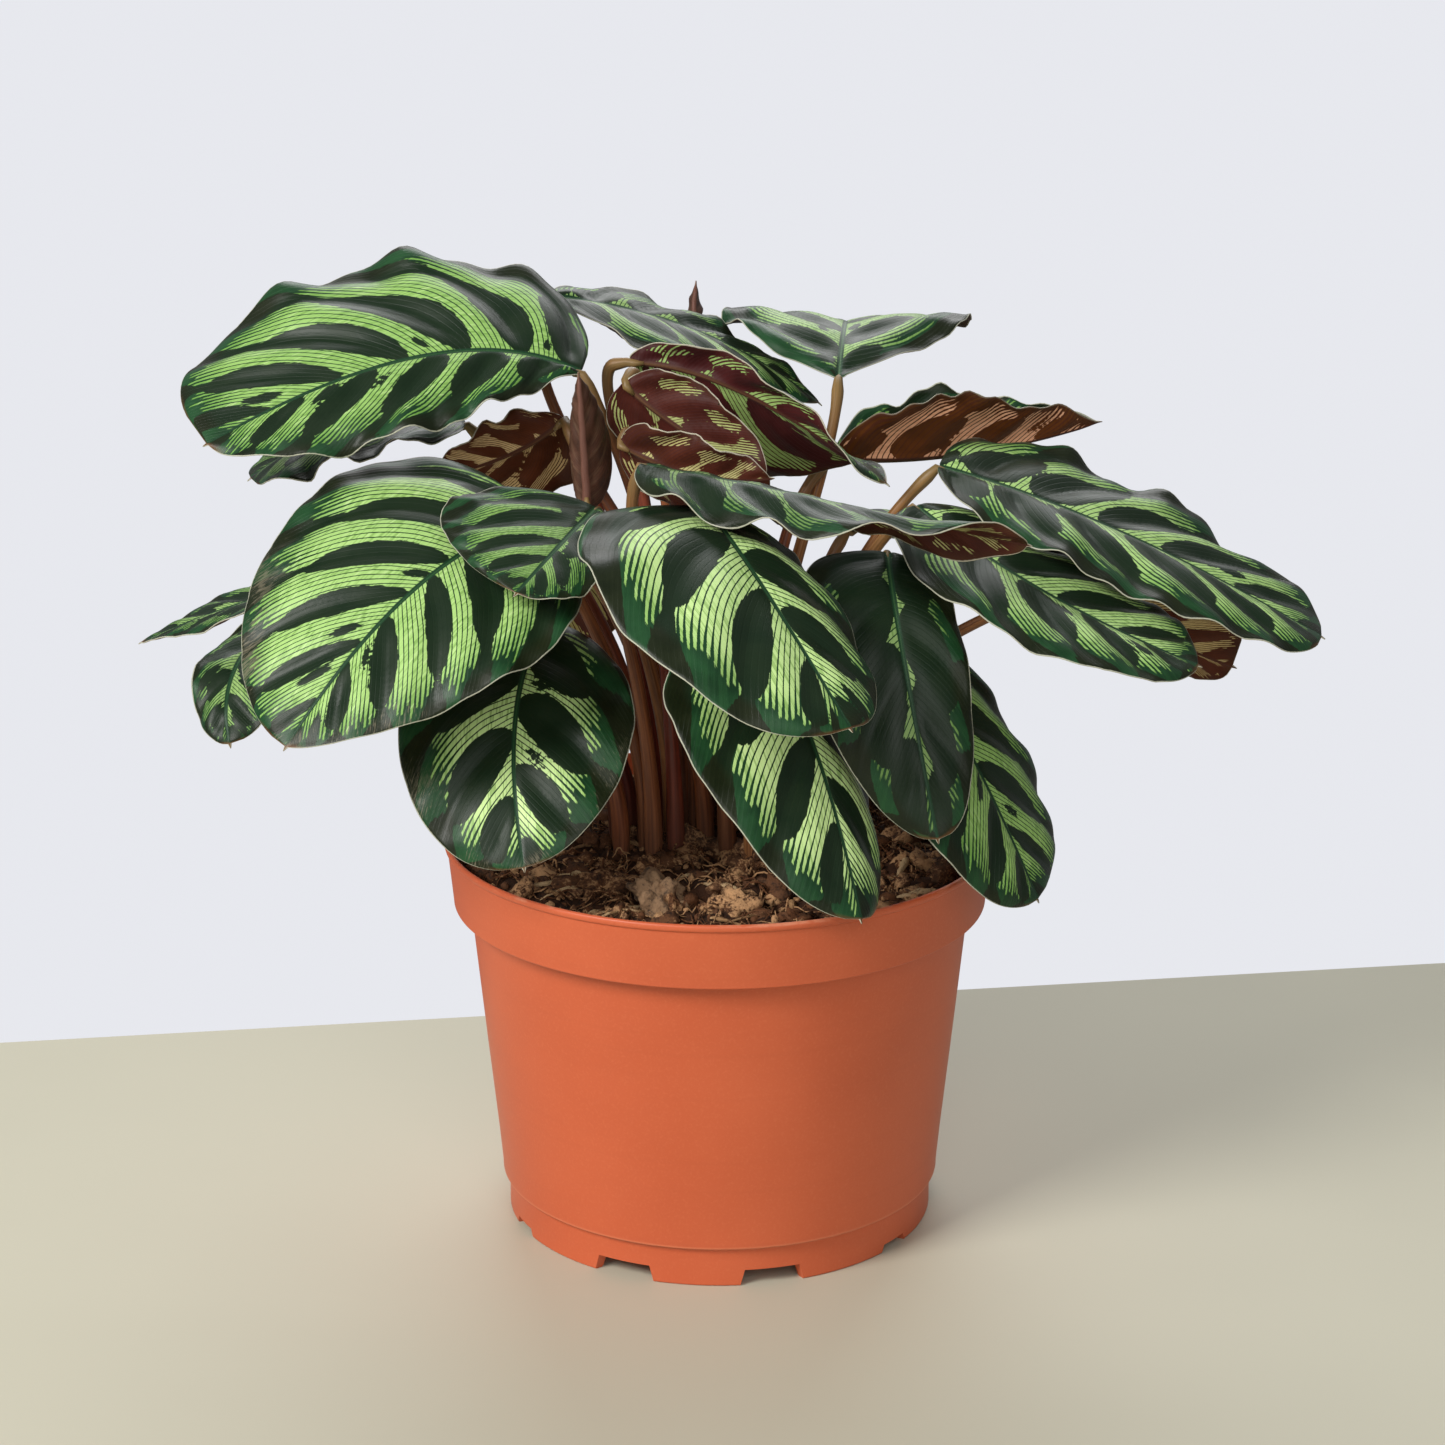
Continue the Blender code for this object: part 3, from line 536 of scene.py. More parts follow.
def blade_grid(blade, seed):
    """Middle surface of a blade with its pleats and markings, from left edge to right edge."""
    rows, length = blade_rows(blade)
    frame_rows = midrib_frame(blade, rows)
    draws = np.random.default_rng(seed)
    halves = []
    for edge, sign, turn in ((blade.left, -1, 0.25), (blade.right, 1, 0.75)):
        columns = blade_columns(edge)
        values = half_markings(blade, edge, rows, columns, length, turn, draws)
        values["points"] = half_surface(blade, edge, sign, rows, columns, frame_rows)
        halves.append(values)
    left, right = halves
    grid = {key: np.concatenate((left[key][:, :0:-1], right[key]), axis=1) for key in left}
    tip = drip_tip(grid["points"], frame_rows)
    for key, value in grid.items():
        tail = tip if key == "points" else np.repeat(value[-1:], DRIP_TIP_ROWS, axis=0)
        grid[key] = np.concatenate((value, tail))
    return SimpleNamespace(**grid)


def drip_tip(points, frame_rows):
    """Rows that draw the blade's end out to a fine point."""
    place, along, _, up = (values[-1] for values in frame_rows)
    last = points[-1] - place
    rows = []
    for step in range(1, DRIP_TIP_ROWS + 1):
        share = step / DRIP_TIP_ROWS
        far = DRIP_TIP_LENGTH * share
        narrow = last * (1 - DRIP_TIP_TAPER * share)
        rows.append(place + narrow + along * far - up * 0.05 * far**2)
    return np.array(rows)


def perimeter(rows, columns):
    """Indices round the grid's edge, and of the point next to each further in."""
    grid = np.arange(rows * columns).reshape(rows, columns)
    ring = np.concatenate((grid[0], grid[1:, -1], grid[-1, -2::-1], grid[-2:0:-1, 0]))
    row = np.clip(ring // columns, 1, rows - 2)
    return ring, row * columns + np.clip(ring % columns, 1, columns - 2)


def blade_mesh(name, blade, seed, materials):
    """A closed thin body: upper side, rounded rim, and underside with its raised midrib."""
    grid, marks = blade_grid(blade, seed), blade.marks
    rows, columns = grid.pleat.shape
    down_rows = np.gradient(grid.points, axis=0)
    normals = unit(np.cross(np.gradient(grid.points, axis=1), down_rows))
    s = grid.along
    ridge = np.exp(-(grid.out / (RIB_RADIUS * (1 - 0.4 * s))) ** 2)
    tip_fade = 1 - smooth(s, 0.93, 1.0)
    rib = (RIB_HEIGHT[0] * (1 - s) + RIB_HEIGHT[1] * s) * ridge * tip_fade
    groove = RIB_GROOVE * ridge * tip_fade * (1 - 0.5 * s)
    thick = HALF_THICKNESS * (EDGE_SHARE + (1 - EDGE_SHARE) * smooth(grid.edge, 0.0, EDGE_REACH))
    upper = grid.points + normals * (thick + grid.pleat - groove)[..., None]
    lower = grid.points - normals * (thick - grid.pleat + rib)[..., None]
    ring, inner = perimeter(rows, columns)
    middle = (upper.reshape(-1, 3) + lower.reshape(-1, 3)) / 2
    rim = middle[ring] + RIM_OUT * unit(middle[ring] - middle[inner])
    total, count = rows * columns, len(ring)
    corner = (np.arange(rows - 1)[:, None] * columns + np.arange(columns - 1)).reshape(-1)
    top = np.stack((corner, corner + 1, corner + columns + 1, corner + columns), axis=1)
    outer = 2 * total + np.arange(count)
    after, outer_after = np.roll(ring, -1), np.roll(outer, -1)
    upper_strip = np.stack((ring, outer, outer_after, after), axis=1)
    lower_strip = np.stack((outer, total + ring, total + after, outer_after), axis=1)
    faces = np.concatenate((top, total + top[:, ::-1], upper_strip, lower_strip)).tolist()
    slots = [0] * len(top) + [1] * len(top) + [0] * count + [1] * count
    points = np.concatenate((upper.reshape(-1, 3), lower.reshape(-1, 3), rim))
    mesh = mesh_from(name, points, faces, materials, slots)
    widest = max(blade.left.width, blade.right.width)
    tables = {
        "vein_map": (grid.out, grid.veins, seed * 7.31),
        "tone": (marks.pale, min(LARGEST_BREAK, BREAK_SHARE * widest), grid.gap),
        "field": (grid.oval, grid.inside, grid.phase),
        "place": (grid.edge, grid.past_rib, grid.along),
        "tint": (marks.bright, marks.pink, marks.wear),
    }
    for key, values in tables.items():
        flat = [np.broadcast_to(value, (rows, columns)).reshape(-1) for value in values]
        stacked = np.stack(flat, axis=1)
        at_rim = stacked[ring]
        if key == "place":
            at_rim[:, 0] = -0.3
        add_vectors(mesh, key, np.concatenate((stacked, stacked, at_rim)))
    return mesh


# Stalks

def stalk_path(blade):
    """Points from under the soil to just under the blade's midrib."""
    low = np.array((*blade.foot, STALK_LOW), float)
    collar = low + (0, 0, STALK_STRAIGHT)
    base, arrive = blade.base, blade.arrive
    reach = np.linalg.norm(base - collar)
    first = collar + (0, 0, STALK_RISE * reach)
    second = base - arrive * blade.bow * reach
    knee = base - arrive * STALK_KNEE
    u = np.linspace(0, 1, STALK_STEPS)[:, None]
    curve = ((1 - u) ** 3 * collar + 3 * u * (1 - u) ** 2 * first
             + 3 * u * u * (1 - u) * second + u**3 * knee)
    _, along, _, up = (values[0] for values in midrib_frame(blade, np.array([0.0])))
    under = [base - arrive * 0.9, base + along * 1.2 - up * 1.2, base + along * 4 - up * 1.2]
    start = np.linspace(0, 1, 5)[:-1, None] * (0, 0, STALK_STRAIGHT) + low
    return np.concatenate((start, curve, under))


def tube(path, radii, sides):
    """Rings round a path without twist, as points and faces with closed ends."""
    tangents = unit(np.gradient(path, axis=0))
    side_way = np.array((1.0, 0, 0) if abs(tangents[0][0]) < 0.8 else (0, 1.0, 0))
    angles = np.linspace(0, 2 * math.pi, sides, endpoint=False)[:, None]
    points = []
    for place, tangent, radius in zip(path, tangents, radii):
        side_way = side_way - tangent * (side_way @ tangent)
        side_way = side_way / np.linalg.norm(side_way)
        other = np.cross(tangent, side_way)
        points.append(place + (np.cos(angles) * side_way + np.sin(angles) * other) * radius)
    last = (len(path) - 1) * sides
    ends = [range(sides - 1, -1, -1), range(last, last + sides)]
    return np.concatenate(points), ring_quads(len(path), sides)[:, [0, 3, 2, 1]].tolist() + ends


def swelling(steps, extra, place, length):
    return extra * np.exp(-((steps - place) / length) ** 2)


def stalk_mesh(name, blade, seed, materials):
    """A tapered rod, wider in its sheath low down and in the joint just before the blade."""
    path = stalk_path(blade)
    steps = np.concatenate(([0], np.cumsum(np.linalg.norm(np.diff(path, axis=0), axis=1))))
    share = steps / steps[-1]
    radii = STALK_RADII[0] + (STALK_RADII[1] - STALK_RADII[0]) * share
    sheath = swelling(steps, *STALK_SHEATH) * (steps > SHEATH_FROM)
    radii = radii + sheath + swelling(steps[-1] - steps, *STALK_JOINT)
    radii[-3:] = STALK_END_RADII
    points, faces = tube(path, radii, STALK_SIDES)
    mesh = mesh_from(name, points, faces, materials)
    angle = np.tile(np.linspace(0, 1, STALK_SIDES, endpoint=False), len(path))
    wave = np.cos(2 * math.pi * angle)
    along = np.repeat(share, STALK_SIDES)
    add_vectors(mesh, "stalk", np.stack((along, wave, np.full(along.shape, seed * 3.7)), axis=1))
    return mesh


# Nodes

class Nodes:
    """A material with its shader's plain values set, and short calls that add its nodes."""

    def __init__(self, name, **fixed):
        self.material = bpy.data.materials.new(name)
        self.material.use_nodes = True
        self.tree = self.material.node_tree
        self.inputs = self.tree.nodes["Principled BSDF"].inputs
        for key, value in fixed.items():
            self.inputs[key.replace("_", " ")].default_value = value

    def put(self, socket, value):
        if isinstance(value, bpy.types.NodeSocket):
            self.tree.links.new(value, socket)
        elif socket.type == "RGBA":
            socket.default_value = (*value, 1.0)
        else:
            socket.default_value = value

    def node(self, kind, *values):
        """A node with its first inputs set, in order."""
        node = self.tree.nodes.new("ShaderNode" + kind)
        for socket, value in zip(node.inputs, values):
            self.put(socket, value)
        return node

    def math(self, operation, first, second=0.0, clamp=False):
        node = self.node("Math", first, second)
        node.operation = operation
        node.use_clamp = clamp
        return node.outputs[0]

    def add(self, first, second):
        return self.math("ADD", first, second)

    def times(self, first, second):
        return self.math("MULTIPLY", first, second)

    def opposite(self, value):
        return self.math("SUBTRACT", 1.0, value, clamp=True)

    def centred(self, value):
        return self.math("SUBTRACT", value, 0.5)

    def step(self, value, low, high, start=0.0, end=1.0):
        node = self.node("MapRange", value, low, high, start, end)
        node.interpolation_type = "SMOOTHSTEP"
        return node.outputs[0]

    def mix(self, share, first, second, blend="MIX"):
        node = self.node("Mix")
        node.data_type = "RGBA"
        node.blend_type = blend
        for index, value in ((0, share), (6, first), (7, second)):
            self.put(node.inputs[index], value)
        return node.outputs[2]

    def between(self, value, first, second, low=0.3, high=0.7, most=1.0):
        """From one colour towards another as a value goes from low to high."""
        return self.mix(self.step(value, low, high, 0.0, most), first, second)

    def split(self, vector):
        return self.node("SeparateXYZ", vector).outputs

    def attribute(self, name):
        """The three numbers of a mesh attribute."""
        node = self.node("Attribute")
        node.attribute_name = name
        return self.split(node.outputs["Vector"])

    def vector(self, x, y, z):
        return self.node("CombineXYZ", x, y, z).outputs[0]

    def place(self):
        return self.node("TexCoord").outputs["Object"]

    def noise(self, vector, scale, detail=3.0, rough=0.5):
        node = self.node("TexNoise")
        given = {"Vector": vector, "Scale": scale, "Detail": detail, "Roughness": rough}
        for name, value in given.items():
            self.put(node.inputs[name], value)
        return node.outputs["Fac"]

    def grain(self, x, x_scale, y, y_scale, z, detail=3.0, rough=0.5):
        """Noise with a scale of its own along x and along y."""
        place = self.vector(self.times(x, x_scale), self.times(y, y_scale), z)
        return self.noise(place, 1.0, detail, rough)

    def finish(self, colour, roughness, height=None, strength=0.0, depth=0.0):
        """Link the shader's inputs, with a bump whose depth is in millimetres."""
        self.put(self.inputs["Base Color"], colour)
        self.put(self.inputs["Roughness"], roughness)
        if height is not None:
            bump = self.node("Bump")
            given = {"Height": height, "Strength": strength, "Distance": depth * MM}
            for name, value in given.items():
                self.put(bump.inputs[name], value)
            self.put(self.inputs["Normal"], bump.outputs[0])
        return self.material


def vein_masks(n):
    """What both sides of a blade share: bands, fine lines, ovals, rim and noises."""
    across, veins, seed = n.attribute("vein_map")
    oval, inside, phase = n.attribute("field")
    edge, rib, along = n.attribute("place")
    pale, breaks, gap = n.attribute("tone")
    streak = n.centred(n.grain(across, 0.11, veins, 1.1, seed, 2.0))
    ragged = n.centred(n.grain(across, 0.5, veins, 1.5, seed, 3.0, 0.6))
    in_oval = n.step(n.add(oval, n.add(n.times(streak, 0.9), n.times(ragged, 1.5))), -0.1, 0.1)
    moved = n.add(phase, n.times(n.grain(across, 0.12, veins, 0.2, seed, 1.0), 0.5))
    strip = n.math("FLOOR", moved)
    uneven = n.centred(n.noise(n.vector(n.times(strip, 3.71), seed, 0.5), 1.0, 0.0))
    rungs = n.grain(across, 1.5, strip, 5.3, seed, 2.0, 0.7)
    rung_edge = n.centred(rungs)
    reach = n.add(inside, n.add(n.times(uneven, breaks), n.times(rung_edge, 3.5)))
    in_bands = n.step(reach, 0.0, 0.6)
    line_width = n.add(n.step(reach, 0.0, 9.0, 0.26, 0.075),
                       n.times(rung_edge, n.step(reach, 0.0, 7.0, 0.45, 0.12)))
    line_apart = n.math("SUBTRACT", n.math("PINGPONG", moved, 0.5), line_width)
    line = n.times(n.opposite(n.step(line_apart, 0.0, 0.06)), n.step(gap, 0.25, 0.6))
    off_rib = n.step(rib, -0.1, 0.25)
    bright = n.times(n.times(in_bands, n.opposite(in_oval)), n.times(n.opposite(line), off_rib))
    return SimpleNamespace(across=across, veins=veins, seed=seed, inside=inside, edge=edge,
                           rib=rib, along=along, pale=pale, streak=streak, in_oval=in_oval,
                           line=line, rungs=rungs, off_rib=off_rib, bright=bright,
                           frayed=n.add(edge, n.times(ragged, 0.3)))


def blade_top_material():
    n = Nodes("calathea_leaf_top", IOR=1.38, Sheen_Weight=0.02, Specular_IOR_Level=0.36)
    m = vein_masks(n)
    tone, _, wear = n.attribute("tint")
    blotchy = n.noise(n.place(), 120.0)
    deep = n.step(m.inside, 0.0, 9.0)
    green = n.mix(deep, (0.11, 0.31, 0.036), (0.225, 0.47, 0.085))
    light = n.mix(deep, (0.36, 0.58, 0.18), (0.64, 0.86, 0.36))
    band = n.mix(m.pale, green, light)
    band = n.between(m.rungs, band, (0.15, 0.31, 0.05), 0.5, 0.62, 0.55)
    band = n.between(m.rungs, band, (0.6, 0.78, 0.36), 0.42, 0.3, 0.5)
    # Leaves with a low bright value get duller, greyer bands: partly their own colour, partly painted
    # shade and grey sheen.
    dulled_and_shaded_band = n.mix(1.0, band, (0.42, 0.46, 0.44), "MULTIPLY")
    band = n.between(tone, dulled_and_shaded_band, band, 0.4, 1.0)
    border = n.between(blotchy, (0.008, 0.04, 0.013), (0.015, 0.068, 0.023))
    border = n.between(m.streak, border, (0.022, 0.088, 0.028), -0.1, 0.25, 0.5)
    spot = n.between(blotchy, (0.008, 0.013, 0.004), (0.014, 0.02, 0.007))
    dark = n.mix(m.in_oval, border, spot)
    dark = n.between(m.inside, dark, (0.007, 0.028, 0.012), -2.0, 1.5, 0.5)
    colour = n.mix(m.bright, dark, band)
    rib = n.between(m.rib, (0.05, 0.135, 0.045), (0.012, 0.048, 0.02), -0.9, -0.2)
    colour = n.mix(m.off_rib, rib, colour)
    scratch = n.grain(m.across, 0.7, m.veins, 2.6, m.seed, 4.0, 0.7)
    worn = n.add(n.times(n.noise(n.place(), 48.0, 2.0), 0.5), n.times(scratch, 0.6))
    worn = n.step(n.add(worn, n.times(wear, 0.16)), 0.62, 0.72)
    worn = n.times(worn, n.step(m.edge, 13.0, 2.0, 0.0, 0.6))
    worn = n.times(worn, n.step(wear, 0.05, 0.3))
    worn = n.times(worn, n.step(m.along, 0.45, 0.8))
    colour = n.mix(worn, colour, (0.25, 0.22, 0.15))
    tip = n.times(n.step(m.along, 0.975, 1.0), n.step(m.edge, 3.0, 0.5))
    colour = n.mix(n.times(tip, 0.8), colour, (0.16, 0.07, 0.025))
    rim = n.times(n.step(m.frayed, 0.3, 0.08), 0.75)
    colour = n.mix(rim, colour, (0.6, 0.6, 0.47))
    rough = n.add(n.step(blotchy, 0.2, 0.8, 0.34, 0.42), n.times(m.bright, 0.05))
    height = n.add(n.times(m.line, -0.7), n.times(m.rungs, 0.35))
    height = n.add(height, n.times(n.noise(n.place(), 900.0, 2.0), 0.5))
    return n.finish(colour, rough, height, 0.35, 0.15)


def blade_under_material():
    n = Nodes("calathea_leaf_underside", IOR=1.35, Sheen_Weight=0.02, Specular_IOR_Level=0.22)
    m = vein_masks(n)
    pink = n.attribute("tint")[1]
    blotchy = n.noise(n.place(), 110.0)
    maroon = n.between(blotchy, (0.038, 0.007, 0.007), (0.068, 0.012, 0.012))
    # Brown turns the base orange-brown on pink leaves; this and the green and rosy bands below are
    # partly the underside's own colours and partly painted light shining through the leaf from behind.
    brown = n.between(blotchy, (0.078, 0.023, 0.004), (0.13, 0.038, 0.008))
    maroon = n.mix(pink, maroon, brown)
    border = n.between(blotchy, (0.052, 0.024, 0.008), (0.07, 0.038, 0.011), 0.25, 0.75)
    base = n.between(m.inside, border, maroon, -4.0, 1.0)
    green = n.between(m.rungs, (0.34, 0.5, 0.16), (0.2, 0.33, 0.08), 0.3, 0.75, 0.6)
    rosy = n.between(m.rungs, (0.92, 0.5, 0.31), (0.62, 0.27, 0.14), 0.3, 0.75, 0.5)
    colour = n.mix(n.times(m.bright, 0.92), base, n.mix(pink, green, rosy))
    colour = n.mix(n.times(m.line, 0.45), colour, (0.055, 0.014, 0.014))
    rib = n.between(m.rib, (0.15, 0.075, 0.035), (0.07, 0.022, 0.016), -1.0, 0.0)
    colour = n.mix(m.off_rib, rib, colour)
    rim = n.times(n.step(m.frayed, 0.3, 0.05), n.step(pink, 0.3, 1.0, 0.85, 0.25))
    colour = n.mix(rim, colour, (0.56, 0.52, 0.4))
    height = n.add(n.times(m.line, 0.6), n.times(m.rungs, 0.3))
    return n.finish(colour, n.step(blotchy, 0.2, 0.8, 0.42, 0.54), height, 0.3, 0.15)


def rolled_material():
    n = Nodes("calathea_rolled_leaf", IOR=1.45)
    m = vein_masks(n)
    blotchy = n.noise(n.place(), 260.0)
    colour = n.between(blotchy, (0.06, 0.024, 0.014), (0.115, 0.046, 0.026))
    colour = n.mix(n.times(m.line, 0.5), colour, (0.035, 0.015, 0.01))
    colour = n.between(m.streak, colour, (0.2, 0.12, 0.07), 0.0, 0.3, 0.6)
    colour = n.mix(m.off_rib, (0.15, 0.06, 0.04), colour)
    colour = n.between(m.edge, colour, (0.36, 0.26, 0.18), 0.6, 0.1)
    height = n.add(m.line, blotchy)
    return n.finish(colour, n.step(blotchy, 0.2, 0.8, 0.4, 0.55), height, 0.4, 0.2)


def stalk_material():
    n = Nodes("calathea_stalk", IOR=1.45)
    along, wave, seed = n.attribute("stalk")
    streaks = n.grain(along, 5.0, wave, 3.0, seed)
    pick = n.noise(n.vector(seed, seed, seed), 1.37, 0.0)
    red = n.between(streaks, (0.14, 0.024, 0.015), (0.31, 0.058, 0.028))
    brown = n.between(streaks, (0.18, 0.068, 0.02), (0.42, 0.18, 0.06))
    colour = n.between(pick, red, brown, 0.42, 0.58)
    colour = n.between(along, colour, (0.19, 0.145, 0.05), 0.75, 1.0, 0.75)
    colour = n.between(along, colour, (0.13, 0.07, 0.045), 0.3, 0.1, 0.6)
    return n.finish(colour, n.step(streaks, 0.2, 0.8, 0.36, 0.52), streaks, 0.4, 0.2)


def pot_material():
    n = Nodes("terracotta_plastic_skin", IOR=1.46)
    cloud = n.noise(n.place(), 14.0)
    grain = n.noise(n.place(), 1400.0, 2.0)
    x, y, z = n.split(n.place())
    turned = n.grain(x, 6.0, y, 6.0, n.times(z, 420.0), 2.0)
    colour = n.between(cloud, (0.57, 0.106, 0.037), (0.64, 0.128, 0.047))
    colour = n.between(grain, colour, (0.72, 0.2, 0.09), 0.45, 0.85, 0.25)
    colour = n.between(turned, colour, (0.45, 0.08, 0.028), 0.5, 0.9, 0.12)
    # The lighter, broken colour on the top of the rolled rim is partly scuff marks and partly a
    # painted highlight along the rim's top.
    scuff_and_highlight_noise = n.grain(x, 30.0, y, 30.0, n.times(z, 90.0), 5.0, 0.7)
    rim_scuffs_and_highlight = n.times(n.step(z, 0.1085, 0.1093), n.step(scuff_and_highlight_noise, 0.5, 0.62))
    colour = n.mix(n.times(rim_scuffs_and_highlight, 0.55), colour, (0.8, 0.36, 0.22))
    # A painted highlight: a lighter band round the seam where the body steps out over the foot.
    painted_seam_highlight = n.times(n.step(z, 0.01, 0.0113), n.step(z, 0.0125, 0.0117))
    colour = n.mix(n.times(painted_seam_highlight, 0.5), colour, (0.76, 0.26, 0.13))
    height = n.add(grain, n.times(turned, 0.6))
    return n.finish(colour, n.step(cloud, 0.2, 0.8, 0.4, 0.48), height, 0.12, 0.1)


def soil_material(name, dark, middle, light, scale):
    """Rough earth or bark: three browns by noise and by the piece's own tone."""
    n = Nodes(name, IOR=1.35)
    tone, grey, _ = n.attribute("crumb")
    coarse = n.noise(n.place(), scale, 5.0, 0.65)
    fibre = n.noise(n.place(), scale * 5.0, 3.0, 0.6)
    mixed = n.add(n.times(coarse, 0.6), n.times(fibre, 0.4))
    colour = n.between(mixed, dark, middle, 0.35, 0.52)
    lifted = n.add(mixed, n.times(n.centred(tone), 0.35))
    colour = n.between(lifted, colour, light, 0.53, 0.66)
    colour = n.mix(n.times(grey, 0.6), colour, (0.16, 0.115, 0.08))
    return n.finish(colour, n.step(fibre, 0.2, 0.8, 0.75, 0.95), mixed, 0.9, 1.2)


def table_material():
    n = Nodes("table_surface")
    lighter = tuple(value * 1.03 for value in TABLE_COLOUR)
    return n.finish(n.between(n.noise(n.place(), 6.0), TABLE_COLOUR, lighter), 0.6)


# Pot

def pot_outline():
    """Radius and height at each point of the pot's outline."""
    points = []
    for radius, height, *bend in POT_OUTLINE:
        if bend:
            size, start, end, count = bend
            angles = np.radians(np.linspace(start, end, count))
            points += [(radius + size * math.cos(a), height + size * math.sin(a)) for a in angles]
        else:
            points.append((radius, height))
    return points


def turned_faces(rings, sides):
    """Faces from a first point, over rings of points, to a last point."""
    start = 1 + (rings - 1) * sides
    spokes = [(k, (k + 1) % sides) for k in range(sides)]
    return ([(0, 1 + k, 1 + n) for k, n in spokes] + ring_quads(rings, sides, 1).tolist()
            + [(start + sides, start + n, start + k) for k, n in spokes])


def turned_mesh(name, outline, sides):
    """A body turned round the Z axis from an outline that starts and ends on it."""
    points = [(0, 0, outline[0][1])]
    for radius, height in outline[1:-1]:
        points += [(x, y, height) for x, y in ring_points(radius, sides)]
    points.append((0, 0, outline[-1][1]))
    return mesh_from(name, points, turned_faces(len(outline) - 2, sides), [])


def block_cutter(name, corners, angle):
    """A closed block from eight corners, turned round the Z axis."""
    mesh = bpy.data.meshes.new(name)
    sides = [(0, 1, 3, 2), (4, 6, 7, 5), (0, 4, 5, 1), (2, 3, 7, 6), (0, 2, 6, 4), (1, 5, 7, 3)]
    mesh.from_pydata([tuple(value * MM for value in corner) for corner in corners], [], sides)
    cutter = new_object(name, mesh)
    cutter.rotation_euler.z = angle
    return cutter


def notch_cutter(index):
    """A block under the foot whose sides lean inwards as they rise."""
    height, outer, inner = DEEP_NOTCH if index % 2 == 0 else SHALLOW_NOTCH
    corners = []
    for radius, width in zip(NOTCH_REACH, (inner, outer)):
        for turn in (-1, 1):
            for z, grow in ((-1.0, NOTCH_SLOPE), (height, -NOTCH_SLOPE)):
                corners.append((radius, turn * (width / 2 + grow), z))
    angle = FIRST_NOTCH_ANGLE + index * 2 * math.pi / NOTCH_COUNT - math.pi / 2
    return block_cutter(f"notch_{index}", corners, angle)


def drain_cutter(index):
    """An upright cylinder through the pot's floor."""
    body = bmesh.new()
    bmesh.ops.create_cone(body, cap_ends=True, segments=32, radius1=DRAIN_HOLE_RADIUS * MM,
                          radius2=DRAIN_HOLE_RADIUS * MM, depth=DRAIN_DEPTH * MM)
    mesh = bpy.data.meshes.new(f"drain_{index}")
    body.to_mesh(mesh)
    body.free()
    cutter = new_object(f"drain_{index}", mesh)
    angle = 2 * math.pi * index / DRAIN_HOLES
    reach = DRAIN_CIRCLE_RADIUS * MM
    cutter.location = (reach * math.cos(angle), reach * math.sin(angle), DRAIN_MIDDLE * MM)
    return cutter


def add_pot():
    shell = new_object("pot_shell", turned_mesh("pot_shell", pot_outline(), POT_SIDES))
    cutters = [notch_cutter(index) for index in range(NOTCH_COUNT)]
    cutters += [drain_cutter(index) for index in range(DRAIN_HOLES)]
    for cutter in cutters:
        boolean = shell.modifiers.new(cutter.name, "BOOLEAN")
        boolean.operation = "DIFFERENCE"
        boolean.object = cutter
    graph = bpy.context.evaluated_depsgraph_get()
    mesh = bpy.data.meshes.new_from_object(shell.evaluated_get(graph))
    shell.modifiers.clear()
    shell.data = mesh
    for cutter in cutters:
        bpy.data.objects.remove(cutter)
    mesh.materials.clear()
    mesh.materials.append(pot_material())
    mesh.set_sharp_from_angle(angle=math.radians(38))
    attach(shell, "root")
    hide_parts("pot")


# Soil

SOIL_EDGE = 104.0
SOIL_MIDDLE = 109.5
SOIL_RADIUS = 73.0
SOIL_REACH = 72.6
SOIL_RINGS = 74
SOIL_SPOKES = 220
SOIL_TONE = (0.35, 0.0, 0.0)
# radius and height of the bed below its top
SOIL_SIDE = ((71.5, 93.2), (66.8, 92.9), (63.0, 50.0), (59.2, 12.0), (56.5, 7.4))
# height of the bumps, their size, and the noise's own layer
SOIL_BUMPS = ((2.6, 13.0, 3.0), (1.5, 5.0, 8.0), (0.8, 2.1, 1.0))
# colours of the dark, middle and light parts, and the noise's scale
EARTH = ((0.008, 0.0035, 0.002), (0.05, 0.019, 0.008), (0.15, 0.062, 0.027), 180.0)
BARK = ((0.02, 0.007, 0.003), (0.13, 0.05, 0.019), (0.5, 0.28, 0.135), 260.0)
WOOD = ((0.09, 0.04, 0.015), (0.34, 0.19, 0.085), (0.66, 0.46, 0.25), 300.0)
# count, outer and inner reach, size, its spread, its shape, share above the soil, roughness,
# tone, grey, and how fine the ball is
CHIPS = ((210, 68.0, 0.0, (1.4, 4.2), (0.7, 1.25), (1.2, 0.8, 0.6), 0.15, 0.8, (0.2, 1.0), 0.25, 2),
         (46, 66.0, 10.0, (3.2, 6.4), (0.8, 1.2), (1.1, 0.8, 0.7), 0.1, 1.1, (0.3, 0.9), 0.3, 3))
BIG_LUMP_SIZE = (7.4, 6.4, 6.6)
CRUMB_COUNT = 1300
FIBRE_COUNT = 720
FIBRE_REACH = 71
FIBRE_STEPS = 8
SPLINTER_COUNT = 64
SPLINTER_STEPS = 7
# place, length and heading of the splinters that show in front
SPLINTERS = (((-50, -36), 20, 0.35), ((-42, -40), 15, 0.75), ((8, -58), 16, 0.6),
             ((2, -62), 11, -0.4), ((50, -34), 12, 0.9), ((-58, -22), 12, 1.2))


def soil_height(x, y):
    """Height of the soil's top in millimetres."""
    share = min(math.hypot(x, y) / SOIL_RADIUS, 1)
    fall = (1 - math.cos(math.pi * share)) / 2
    height = SOIL_MIDDLE + fall * (SOIL_EDGE - SOIL_MIDDLE)
    bumps = 0
    for tall, wide, layer in SOIL_BUMPS:
        bumps += tall * noise.noise(Vector((x, y, layer)) / wide)
    return height + bumps * min(1.0, 5 * (1 - share) + 0.15) - 0.6


